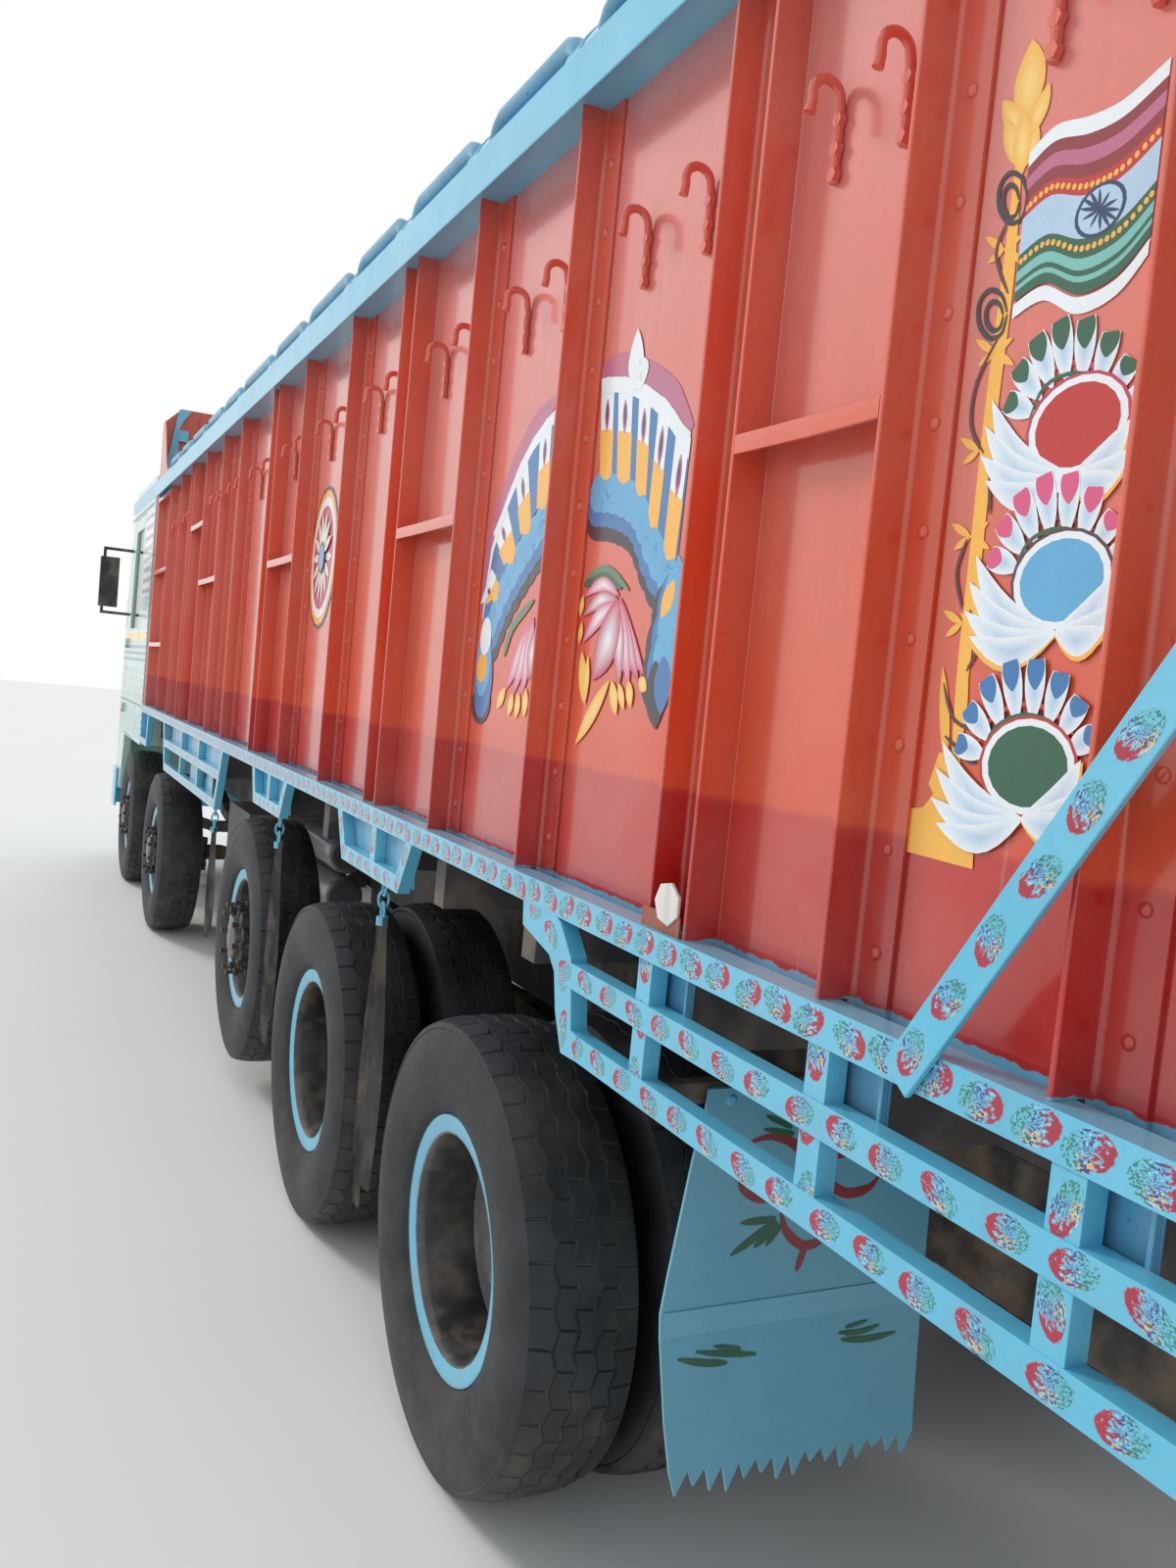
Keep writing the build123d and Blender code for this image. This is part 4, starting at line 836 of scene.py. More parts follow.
def makeWall():
    line = wallLine()
    levels = [wall["footZ"]]
    while levels[-1] + wall["stepZ"] < wall["topZ"] - 0.02:
        levels.append(levels[-1] + wall["stepZ"])
    levels.append(wall["topZ"])
    points = []
    tints = []
    ring = line + [(line[-1][0], wall["innerY"], 0), (line[0][0], wall["innerY"], 0)]
    for level, z in enumerate(levels):
        for x, y, mark in ring:
            height = wall["postFootZ"] if level == 0 and y > wall["postFromY"] else z
            points.append((x, y + panelWave(x, height) if mark else y, height))
            # flat panels are marked in the zone's red channel, where the wall enamel lays its drips and its
            # painted sky reflection and sheen
            flat = mark or abs(points[-1][1] - wall["panelY"]) < 0.0012
            tints.append((1.0 if flat else 0.0, 0.0, 0.0, 1.0))
    count = len(ring)
    top = (len(levels) - 1) * count
    faces = rowFaces(len(levels) - 1, count) + [tuple(range(count)), tuple(range(top, top + count))]
    shape = Shape()
    shape.add(points, faces, tints)
    return shape


def bayOf(index):
    ahead, width, kind = wallPosts[index]
    front = at(ahead) - (wall["leg"] if kind == "angle" else width)
    return front, at(wallPosts[index + 1][0])


def makeRungs():
    shape = Shape()
    for index, z in wallRungs:
        front, rear = bayOf(index)
        panel, post = wall["panelY"] - 0.001, wall["postY"]
        high = z + wall["rungHeight"]
        section = [(panel, high), (post - .0025, high), (post - .0008, high - .0008), (post, high - .0025),
                   (post, z), (post - .006, z), (post - .006, high - .006), (panel, high - .006)]
        rings = []
        for step in range(7):
            x = front + (rear - front) * step / 6
            sag = -0.0015 * sin(pi * step / 6)
            rings.append([(x, y, height + sag) for y, height in section])
        addSweep(shape, rings)
    return shape


putSides("wallSheet", makeWall(), wallEnamel, "orange_steel", "side_wall_", tintName="zone", smooth=38.0)
putSides("wallRungs", makeRungs(), wallEnamel, "orange_steel", tintName="zone", smooth=40.0)


def makeRivetHead():
    shape = Shape()
    rings = [(0.0095, 0.0), (0.009, 0.0028), (0.0068, 0.0052), (0.0035, 0.0064)]  # radius and height
    points = [(radius * cos(tau * corner / 10), height, radius * sin(tau * corner / 10))
              for radius, height in rings for corner in range(10)] + [(0.0, 0.0067, 0.0)]
    crown = [(30 + corner, 30 + (corner + 1) % 10, 40) for corner in range(10)]
    shape.add(points, rowFaces(3, 10) + crown + [tuple(range(10))])
    return shape


def rivetPlaces(sign):
    y = sign * (wall["panelY"] + wall["base"] - .0002)
    places = []
    for ahead, width, kind in wallPosts:
        z = wall["firstRivetZ"]
        while kind == "angle" and z < wall["topZ"] - 0.06:
            wobble = 0.003 * noise.noise(Vector((ahead, z * 7, 1)))
            places.append((at(ahead) - wall["rivetBack"] + wobble, y, z))
            z += wall["rivetPitch"]
    return places


rivetPattern = pattern("rivetPattern", makeRivetHead())
for side, sign in sideNames:
    spots = rivetPlaces(sign)
    values = {"Piece": rivetPattern, "Finish": wallEnamel, "Size": 1.0, "Size spread": 0.08,
              "Turn spread": 0.05, "Seed": 5}
    turns = [(0.0 if sign == 1 else pi, 0.0, 0.0)] * len(spots)
    rivets = grow("wallRivets" + side.capitalize(), placeTree, values, spots, turns)
    soften(rivets, 45.0)
    assign(rivets, "root", "orange_steel")
print("side walls built")


# rope hooks: flat bar crooks with nuts up the shank

hook = dict(foot=2.558, top=2.703, reach=0.06, bar=0.0064, tip=0.030, shares=(0.32, 0.76), nut=0.0105,
            nutHeights=(0.012, 0.048, 0.088))


def addHook(shape, x):
    y, half = wall["panelY"], hook["reach"] / 2
    foot, centre = hook["foot"], hook["top"] - half
    path = [(x, y + .006, foot), (x, y + .006, foot + .02), (x, y + .007, foot + .05),
            (x, y + .007, centre - .02)]
    for step in range(11):
        angle = pi - pi * step / 10
        path.append((x, y + .004 + half + (half - .006) * cos(angle), centre + (half - .007) * sin(angle)))
    path += [(x, y + hook["reach"] - .003, centre - .012), (x, y + hook["reach"], centre - hook["tip"])]
    radii = [hook["bar"]] * (len(path) - 1) + [hook["bar"] * 1.12]
    addTube(shape, path, radii, 10, 1.25)
    for height in hook["nutHeights"]:
        addPrism(shape, x, foot + height, y + .003, y + .0140, hook["nut"], 6)


def makeHooks():  # two hooks in each bay that has no rung at their height
    shape = Shape()
    runged = [bay for bay, z in wallRungs if z > 2.5]
    for index in range(1, len(wallPosts) - 1):
        ahead, width, kind = wallPosts[index]
        front, rear = at(ahead) - width, at(wallPosts[index + 1][0])
        if index not in runged:
            for share in hook["shares"]:
                addHook(shape, front + share * (rear - front))
    return shape


putSides("ropeHooks", makeHooks(), wallEnamel, "orange_steel", tintName="zone", smooth=45.0)
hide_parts("rope_hooks")
print("hooks built")


# body rail, side guards and braces, stamped with prints

guard = dict(innerY=1.18, outerY=1.215, bar=0.046, topZ=1.39, footZ=1.163, railInnerY=1.165, railZ=1.404,
             railHeight=0.052, front=7.23, rear=-2.55)
# outer outlines of the four forward guards: place ahead of the last axle and height
guardLines = [[(7.225, 1.378), (7.225, 1.150), (6.760, 1.150), (6.700, 1.378)],
              [(5.830, 1.378), (5.660, 1.085), (3.590, 1.085), (3.440, 1.378)],
              [(2.680, 1.378), (2.610, 1.235), (2.080, 1.235), (1.985, 1.378)],
              [(1.220, 1.378), (1.130, 1.235), (0.540, 1.235), (0.450, 1.378)]]
guardMiddles = [(5.735, 3.510, 1.255), (-0.530, -2.545, 1.285)]
guardPosts = [(4.960, 1.085), (4.270, 1.085), (-0.800, 1.140), (-1.275, 1.140), (-1.690, 1.140),
              (-2.130, 1.140), (2.350, 1.235), (0.830, 1.235)]
guardPlates = [(-0.780, .130), (-1.262, .130), (-1.662, .130), (-2.110, .130)]
# front, rear, low and high edge of the sheets behind the windows
guardBacks = [(7.19, 6.74, 1.19, 1.385), (5.64, 3.58, 1.262, 1.385), (4.71, 4.478, 1.12, 1.26),
              (4.11, 3.893, 1.12, 1.26), (2.62, 2.402, 1.25, 1.385), (2.338, 2.05, 1.25, 1.385),
              (1.16, .51, 1.25, 1.385)]


def innerLine(points, inset):  # centre line of a bar whose outer edge follows the points
    line = [Vector(point) for point in points]
    moved = []
    for index, point in enumerate(line):
        before = (point - line[index - 1]).normalized() if index else (line[1] - point).normalized()
        after = (line[index + 1] - point).normalized() if index < len(line) - 1 else before
        normal = Vector((-(before.y + after.y), before.x + after.x)).normalized()
        moved.append(point - normal * inset / max(0.35, normal.dot(Vector((-before.y, before.x)))))
    return moved


def makeGuards():
    shape = Shape()
    low, bar, top, foot = guard["innerY"], guard["bar"], guard["topZ"], guard["footZ"]
    addBar(shape, [(at(guard["front"]), guard["railZ"]), (at(guard["rear"]), guard["railZ"])],
           guard["railHeight"], guard["railInnerY"], guard["outerY"])
    y = guard["outerY"] - .0012
    for order, points in enumerate(guardLines):
        line = innerLine([(at(x), z) for x, z in points], bar / 2)
        line[0].y = line[-1].y = top
        addBar(shape, line, bar, low, y, 0.02 * order)
    # the slanting front leg of the last guard, which narrows down to the foot bar
    leg = [(-.347, 1.40), (-.352, 1.368), (-.468, 1.336), (-.512, 1.296), (-.533, 1.215), (-.556, foot),
           (-.60, foot)]
    addBar(shape, [(at(x), z) for x, z in leg], [.095, .095, .078, .076, .07, .052, bar], low, y)
    addBar(shape, [(at(-.585), foot), (at(-2.545), foot)], bar, low, y - .0008, 0.03)
    addBar(shape, [(at(-2.522), foot - .02), (at(-2.522), top)], bar, low, y + .0006)
    for start, end, z in guardMiddles:
        addBar(shape, [(at(start), z), (at(end), z)], bar, low, y + .0006, 0.05)
    for x, z in guardPosts:
        addBar(shape, [(at(x - bar / 2), z + .01), (at(x - bar / 2), top)], bar, low, y - .0024,
               x * 0.37 + 3)
    return shape


def makePlates():  # open channels of the body posts that carry on behind the guard
    shape = Shape()
    for x, width in guardPlates:
        front, rear = at(x), at(x - width)
        addBox(shape, (rear, 1.165, 1.262), (front, 1.170, 1.385))
        addBox(shape, (front - .007, 1.170, 1.262), (front, 1.1805, 1.385))
        addBox(shape, (rear, 1.170, 1.262), (rear + .007, 1.1805, 1.385))
    for ahead, behind, low, high in guardBacks:
        addBox(shape, (at(behind), 1.1765, low), (at(ahead), 1.1795, high))
    return shape


putSides("guardFrames", makeGuards(), guardPrint, "blue_steel", "side_guard_", bevel=0.0028)
# the plates and the sheets behind the windows take the darker blue as painted shade
putSides("guardPlates", makePlates(), midBlueAndPaintedShade, "blue_steel", bevel=0.0015)
for side, sign in sideNames:  # the body rail's own stamps are closer together
    piece = bpy.data.objects["guardFrames" + side.capitalize()]
    piece.data.materials.append(railPrint)
    for face in piece.data.polygons:
        centre = face.center
        if 1.385 < centre.z < 1.425 and abs(centre.y) > 1.2149 or centre.z > 1.4295:
            face.material_index = 1

brace = Shape()
addBar(brace, [(at(-1.460), 1.386), (at(-2.450), 2.858)], .054, 1.2155, 1.2245)
addBox(brace, (at(-2.48), 1.196, 2.79), (at(-2.42), 1.2155, 2.86))
putSides("diagonalBrace", brace, guardPrint, "blue_steel", bevel=0.002)
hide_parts("diagonal_braces")
print("guards built")


# top rail with its rope rail

top = dict(innerY=1.120, outerY=1.240, low=2.965, high=3.040, lip=0.03, ropeY=1.205, ropeZ=3.102,
           rope=0.021)


def makeTopRail():
    shape = Shape()
    front, rear = at(wall["frontAhead"]), at(wall["rearAhead"])
    section = [(top["innerY"], top["low"]), (top["outerY"] - .006, top["low"]),
               (top["outerY"] - .006, top["low"] - top["lip"]), (top["outerY"], top["low"] - top["lip"]),
               (top["outerY"], top["high"]), (top["innerY"], top["high"])]
    rings = []
    for step in range(41):
        x = front + (rear - front) * step / 40
        wave = 0.0012 * noise.noise(Vector((x * 1.3, 2.0, 7.0)))
        rings.append([(x, y + wave, z) for y, z in section])
    addSweep(shape, rings)
    return shape


def makeRopeRails():
    shape = Shape()
    for index in range(1, len(wallPosts) - 1):
        start = at(wallPosts[index][0]) - 0.15
        end = at(wallPosts[index + 1][0]) + 0.07
        y, z, radius = top["ropeY"], top["ropeZ"], top["rope"]
        path = [(start + .050, y, top["high"] - .004), (start + .046, y, top["high"] + .025),
                (start + .030, y, z - .014), (start, y, z)]
        path += [(start + (end - start) * step / 6, y, z) for step in range(1, 7)]
        path += [(end - .030, y, z - .014), (end - .046, y, top["high"] + .025),
                 (end - .050, y, top["high"] - .004)]
        addTube(shape, path, radius, 14)
    return shape


def makeRailBrackets():  # bent tongues between the rope rails
    shape = Shape()
    for index in range(1, len(wallPosts)):
        centre = at(wallPosts[index][0]) - 0.035
        for offset, lean, height in ((0.035, 0.022, 0.088), (-0.032, -0.016, 0.080)):
            rings = []
            for step in range(7):
                share = step / 6
                z = top["high"] - .002 + height * share
                x = centre + offset + lean * sin(share * pi * 0.9)
                half = 0.034 * (1 - 0.55 * share ** 2)
                y = 1.232 - 0.05 * share ** 1.6
                rings.append([(x - half, y, z), (x + half, y, z), (x + half, y - .006, z),
                              (x - half, y - .006, z)])
            addSweep(shape, rings)
    return shape


putSides("topRail", makeTopRail(), skyEnamel, "blue_steel", bevel=0.003)
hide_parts("top_rails")
putSides("ropeRails", makeRopeRails(), midBlueAndPaintedShade, "blue_steel", smooth=50.0)
putSides("railBrackets", makeRailBrackets(), skyEnamel, "blue_steel", smooth=50.0, bevel=0.0015)
print("top rails built")


# tyres: one tread pitch repeated round the wheel

tyre = dict(radius=0.520, pitches=40, grooveDepth=0.0075, grooveHalf=0.0028, zigzag=0.006, slant=0.16,
            grooves=(-.066, -.023, .023, .066), shoulder=0.106, outerY=1.087, twinGap=0.32,
            side=[(.118, .5045), (.1235, .493), (.1215, .488), (.130, .468), (.1362, .435), (.1372, .405),
                  (.1345, .372), (.1268, .338), (.1175, .315), (.1145, .309), (.1065, .302), (.099, .296),
                  (.093, .285), (.091, .262)])  # y and radius down the side wall


def treadSegment():  # one pitch of the tread, with a slit across every second rib at each half
    step = tau / tyre["pitches"]
    edge, half = tyre["shoulder"], tyre["grooveHalf"]
    across = [(-y, radius, "side", -1, 0) for y, radius in reversed(tyre["side"])]
    across.append((-edge, None, "land", 0, 0))  # y, radius, kind, number of the rib, share of the zigzag
    for index, groove in enumerate(tyre["grooves"]):
        across += [(groove - half * 1.6, None, "land", index, 1), (groove - half, None, "groove", index, 1),
                   (groove + half, None, "groove", index + 1, 1),
                   (groove + half * 1.6, None, "land", index + 1, 1)]
    across.append((edge, None, "land", 4, 0))
    across += [(y, radius, "side", -1, 0) for y, radius in tyre["side"]]
    stations = [0.0, 0.03, 0.07, 0.10, 0.5, 0.53, 0.57, 0.60, 1.0]
    points = []
    tints = []
    for station in stations:
        zig = tyre["zigzag"] * 2 * (abs((station * 2) % 2 - 1) - 0.5)
        for y, radius, kind, rib, zigs in across:
            own = y + zig * zigs
            crown = tyre["radius"] - 0.012 * (abs(own) / 0.11) ** 3
            slit = 0.0 if rib % 2 == 0 else 0.5
            deep = 0.0
            if kind == "groove":
                crown, deep = crown - tyre["grooveDepth"], 1.0
            elif kind == "land" and station in (slit + 0.03, slit + 0.07):
                crown, deep = crown - tyre["grooveDepth"] * 0.8, 1.0
            slant = tyre["slant"] * own / 0.1
            if kind == "side":
                crown, slant = radius, tyre["slant"] * (1 if own > 0 else -1)
            turn = step * (station + slant)
            points.append((crown * cos(turn), own, -crown * sin(turn)))
            tints.append((0.0 if kind == "side" else 1.0, deep, 0.0, 1.0))
    count, rows = len(across), len(stations) - 1
    inner = [(row * count, (row + 1) * count, (row + 2) * count - 1, (row + 1) * count - 1)
             for row in range(rows)]
    shape = Shape()
    shape.add(points, rowFaces(rows, count, closed=False) + inner, tints)
    return shape


segment = makeObject("treadPattern", treadSegment(), tyreRubber, "zone", 30.0)
patterns.append(segment)
for number, place in enumerate(axlePlaces, 1):
    for side, sign in sideNames:
        spots = [(place.x, sign * tyre["outerY"], place.z)]
        if number > 3:
            spots.append((place.x, sign * (tyre["outerY"] - tyre["twinGap"]), place.z))
        name = "tyre" + str(number) + side.capitalize()
        rubber = grow(name, ringTree, {"Piece": segment, "Finish": tyreRubber, "Count": tyre["pitches"],
                                       "Start turn": 0.13 * number, "Weld": 0.0002}, spots)
        soften(rubber, 34.0)
        assign(rubber, "wheel_" + str(number) + "_" + side, "tyre", "tyre_" + str(number) + "_" + side)
print("tyres built:", len(segment.data.polygons) * tyre["pitches"], "faces each")


# wheels: deep dished twins, disc wheels with long nut caps on the single axles

rim = dict(steps=72, holes=8, holeRadius=0.026, holePitch=0.186, nuts=10, nutPitch=0.1435)
# makeRimPaint paints iron and hub dusty black, the disc dull
ironTint, hubTint, discTint = (0.0, 0.0, 0.0, 1.0), (0.0, 0.1, 0.0, 1.0), (0.0, 1.0, 0.0, 1.0)


def rimProfile():  # closed outline of (radius, y, paint) with rolled flanges
    outer = [(.2455, .088, 0), (.2500, .096, .2), (.262, .1005, 1), (.281, .1022, 1), (.2885, .1040, 1),
             (.2935, .1030, 1), (.2950, .0990, 1), (.2925, .0955, 1), (.281, .0940, 1), (.262, .0915, 1),
             (.2555, .084, 0)]
    inner = [(radius, -y, 0) for radius, y, paint in reversed(outer)]
    bore = [(.2390, -.070, 0), (.2365, -.030, 0), (.2365, .020, 0), (.2385, .045, .0), (.2405, .056, 0),
            (.243, .075, 0)]
    return outer + inner + bore


def addRim(shape, centre):
    profile = rimProfile()
    addTurned(shape, [(radius, y) for radius, y, paint in profile], centre, rim["steps"],
              [(paint, 0.0, 0.0, 1.0) for radius, y, paint in profile])


def holedDisc(profile, holes, pitch, radius):
    # turned disc with hand holes, cut by a boolean and given back as points and faces
    disc = Shape()
    addTurned(disc, profile, (0, 0, 0), rim["steps"], [discTint] * len(profile))
    body = makeObject("discBlank", disc, skyRim, "zone")
    cutter = Shape()
    for index in range(holes):
        angle = tau * index / holes
        addPrism(cutter, pitch * cos(angle), pitch * sin(angle), -.2, .2, radius, 20, discTint)
    knife = makeObject("discHoles", cutter, skyRim, "zone")
    cut = body.modifiers.new("cut", "BOOLEAN")
    cut.object = knife
    cut.operation = "DIFFERENCE"
    cut.solver = "EXACT"
    graph = bpy.context.evaluated_depsgraph_get()
    done = bpy.data.meshes.new_from_object(body.evaluated_get(graph), preserve_all_data_layers=True,
                                           depsgraph=graph)
    points = [tuple(vertex.co) for vertex in done.vertices]
    faces = [tuple(face.vertices) for face in done.polygons]
    for spare in (body, knife):
        bpy.data.objects.remove(spare)
    return points, faces


discProfile = [(.050, .052), (.118, .052), (.126, .056), (.150, .050), (.166, .030), (.205, -.004),
               (.226, -.018), (.240, -.022), (.240, -.034), (.222, -.030), (.200, -.016), (.160, .018),
               (.146, .036), (.126, .042), (.050, .042)]
discPoints, discFaces = holedDisc(discProfile, rim["holes"], rim["holePitch"], rim["holeRadius"])

# closed outline of the twins' web and hub
twinDisc = [(.240, -.045), (.240, -.057), (.226, -.066), (.200, -.105), (.150, -.128), (.060, -.128),
            (.060, -.140), (.150, -.140), (.196, -.160), (.226, -.236), (.240, -.262), (.240, -.276),
            (.214, -.240), (.186, -.172), (.150, -.154), (.060, -.154), (.060, -.100), (.118, -.100),
            (.118, -.05), (.088, -.010), (.0, -.010), (.0, -.004), (.094, -.004), (.126, -.048),
            (.126, -.114), (.152, -.116), (.208, -.094), (.230, -.058)]

# hub cap that stands out of a single wheel
hubProfile = [(.0, .152), (.050, .152), (.060, .148), (.082, .146), (.088, .140), (.090, .120),
              (.112, .118), (.118, .112), (.118, .050), (.104, .046), (.0, .046)]


def nutCap():  # wheel nut with a long turned cap on it
    shape = Shape()
    addPrism(shape, rim["nutPitch"], 0.0, .048, .072, .0175, 6)
    addTurned(shape, [(.0, .070), (.015, .070), (.0155, .080), (.010, .086), (.0095, .112), (.0165, .116),
                      (.0170, .128), (.009, .134), (.0085, .150), (.0125, .154), (.0120, .163), (.0, .165)],
              (rim["nutPitch"], 0.0, 0.0), 10)
    return shape


def hubBolt():
    shape = Shape()
    addPrism(shape, .104, 0.0, .116, .126, .0095, 6)
    return shape


def twinStud():  # nut with the stud's end standing out of it
    shape = Shape()
    addPrism(shape, .136, 0.0, -.118, -.094, .017, 6)
    addTurned(shape, [(.0, -.094), (.009, -.094), (.009, -.070), (.0, -.070)], (.136, 0.0, 0.0), 8)
    return shape


def drumProfile(face, back):  # brake drum from its face, which looks outward, to its open back
    return [(.205, back), (.205, face), (.10, face), (.10, face - .012), (.193, face - .012), (.193, back)]


def addWheelPart(shape, profile, centre, steps, tint):
    addTurned(shape, profile, centre, steps, [tint] * len(profile))


capPattern = pattern("nutCapPattern", nutCap())
boltPattern = pattern("hubBoltPattern", hubBolt())
studPattern = pattern("twinStudPattern", twinStud())

for number, place in enumerate(axlePlaces, 1):
    for side, sign in sideNames:
        centre = (place.x, tyre["outerY"], place.z)
        body = "wheel_" + str(number) + "_" + side
        shape = Shape()
        addRim(shape, centre)
        if number > 3:
            addRim(shape, (centre[0], centre[1] - tyre["twinGap"], centre[2]))
            addWheelPart(shape, twinDisc, centre, 48, ironTint)
            addWheelPart(shape, drumProfile(-.160, -.390), centre, 40, ironTint)
            rings = [("studs", studPattern, rim["nuts"])]
        else:
            shape.add([(x + centre[0], y + centre[1], z + centre[2]) for x, y, z in discPoints], discFaces,
                      [discTint] * len(discPoints))
            addWheelPart(shape, hubProfile, centre, 36, hubTint)
            addWheelPart(shape, drumProfile(-.018, -.085), centre, 40, ironTint)
            rings = [("nutCaps", capPattern, rim["nuts"]), ("hubBolts", boltPattern, 8)]
        wheel = makeObject("wheel" + str(number) + side.capitalize(), shape.onSide(sign), skyRim, "zone",
                           34.0)
        assign(wheel, body, "rim_steel", body)
        spot = [(centre[0], sign * centre[1], centre[2])]
        for label, piece, count in rings:
            nuts = grow(label + str(number) + side.capitalize(), ringTree,
                        {"Piece": piece, "Finish": nutBlack, "Count": count, "Start turn": 0.2 * number},
                        spot)
            if sign == -1:
                for vertex in nuts.data.vertices:
                    vertex.co.y = 2 * spot[0][1] - vertex.co.y
                nuts.data.flip_normals()
            soften(nuts, 34.0)
            assign(nuts, body, "rim_steel")
print("wheels built")


# the CAD's own parts that keep their shape, with rounded edges and their own finishes

# each node, its piece, finish and slot, and the width of its rounded edges
keptParts = [("chassis_frame", "chassisFrame", chassisBlack, "chassis_steel", .004),
             ("axles", "axleBeams", castIron, "cast_axle", .006),
             ("leaf_springs", "springPacks", castIron, "chassis_steel", .004),
             ("engine_block", "engineBlock", castIron, "cast_engine", .008),
             ("propeller_shaft", "driveShaft", castIron, "chassis_steel", 0),
             ("chassis_tanks", "chassisTanks", tankPaint, "tank_steel", .004),
             ("load_floor", "floorSheet", floorSteelAndShade, "floor_steel", .002),
             ("front_bulkhead", "frontBulkhead", orangeEnamel, "orange_steel", .004),
             ("rear_frame", "rearFrame", skyEnamel, "blue_steel", .003),
             ("dashboard", "dashPanel", darkPlastic, "dash_plastic", .006),
             ("cab_shell", "cabShell", mintPaint, "cab_paint", .006),
             ("front_bumper", "frontBumper", skyEnamel, "blue_steel", .008),
             ("grille", "frontGrille", darkPlastic, "dark_plastic", .003),
             ("mirrors", "mirrorPair", darkPlastic, "dark_plastic", .004),
             ("lamps", "lampSet", whitePaint, "lamp_plastic", .004)]
for node, name, finish, slot, width in keptParts:
    copyCad(node, name, finish, "root", slot, width)
for side, sign in sideNames:
    for number in (1, 2):
        label = "knuckle_" + str(number) + "_" + side
        copyCad(label, "knuckle" + str(number) + side.capitalize(), castIron, label, "cast_axle", .003)
    copyCad("cab_door_" + side, "cabDoor" + side.capitalize(), mintPaint, "cab_door_" + side, "cab_paint",
            .004)
    copyCad("tail_door_" + side, "tailDoor" + side.capitalize(), orangeEnamel, "tail_door_" + side,
            "orange_steel", .004)
for node in ("cab_glass", "door_glass_left", "door_glass_right"):
    nodes[node].data.materials.clear()
    nodes[node].data.materials.append(darkGlass)


# brush-painted ornaments on the walls, as thin sheets of paint over the panels

brushTones = dict(white=screen(232, 240, 244), cream=screen(246, 214, 130), yellow=screen(243, 182, 72),
                  pink=screen(214, 84, 128), rose=screen(190, 52, 88), mauve=screen(186, 104, 134),
                  sky=screen(92, 170, 214), blue=screen(52, 118, 176), navy=screen(34, 58, 92),
                  black=screen(48, 42, 50), green=screen(40, 92, 66), leaf=screen(92, 128, 96),
                  teal=screen(118, 190, 180), maroon=screen(138, 44, 50), red=screen(188, 44, 40),
                  brown=screen(88, 46, 48), ice=screen(176, 204, 228), steel=screen(96, 128, 156))
# the photograph's camera: place in metres, axes, then focal length and frame in pixels
view = dict(place=Vector((-5.889, 2.184, 1.792)), right=Vector((-0.42509, -0.90018, 0.09470)),
            up=Vector((0.10286, 0.05591, 0.99312)), back=Vector((-0.89929, 0.43191, 0.06883)),
            focal=1267.09, width=1200, height=1600)


def between(start, end, share):
    return start[0] + (end[0] - start[0]) * share, start[1] + (end[1] - start[1]) * share


def fineLine(places, count):  # evenly many points along a smooth line through the places
    line = [Vector(place) for place in places]
    steps = []
    for number in range(count):
        t = number / (count - 1) * (len(line) - 1)
        index = min(len(line) - 2, int(t))
        t -= index
        a, b = line[index], line[index + 1]
        before, after = line[max(0, index - 1)], line[min(len(line) - 1, index + 2)]
        spot = 2 * a + (b - before) * t
        spot += (2 * before - 5 * a + 4 * b - after) * t * t
        spot += (3 * a - before - 3 * b + after) * t ** 3
        steps.append(tuple(0.5 * spot))
    return steps


def ribbon(line, width, start, growth, early=0):
    # left and right places along a line; start is the width's share at the ends, growth how fast it widens
    last = len(line) - 1
    sides = []
    for index, place in enumerate(line):
        along = (Vector(line[min(last, index + 1)]) - Vector(line[max(0, index - 1)])).normalized()
        half = width / 2 * min(1.0, start + growth * min(index + early, last - index) / last)
        across = Vector((-along.y, along.x)) * half
        sides += [Vector(place) - across, Vector(place) + across]
    return sides


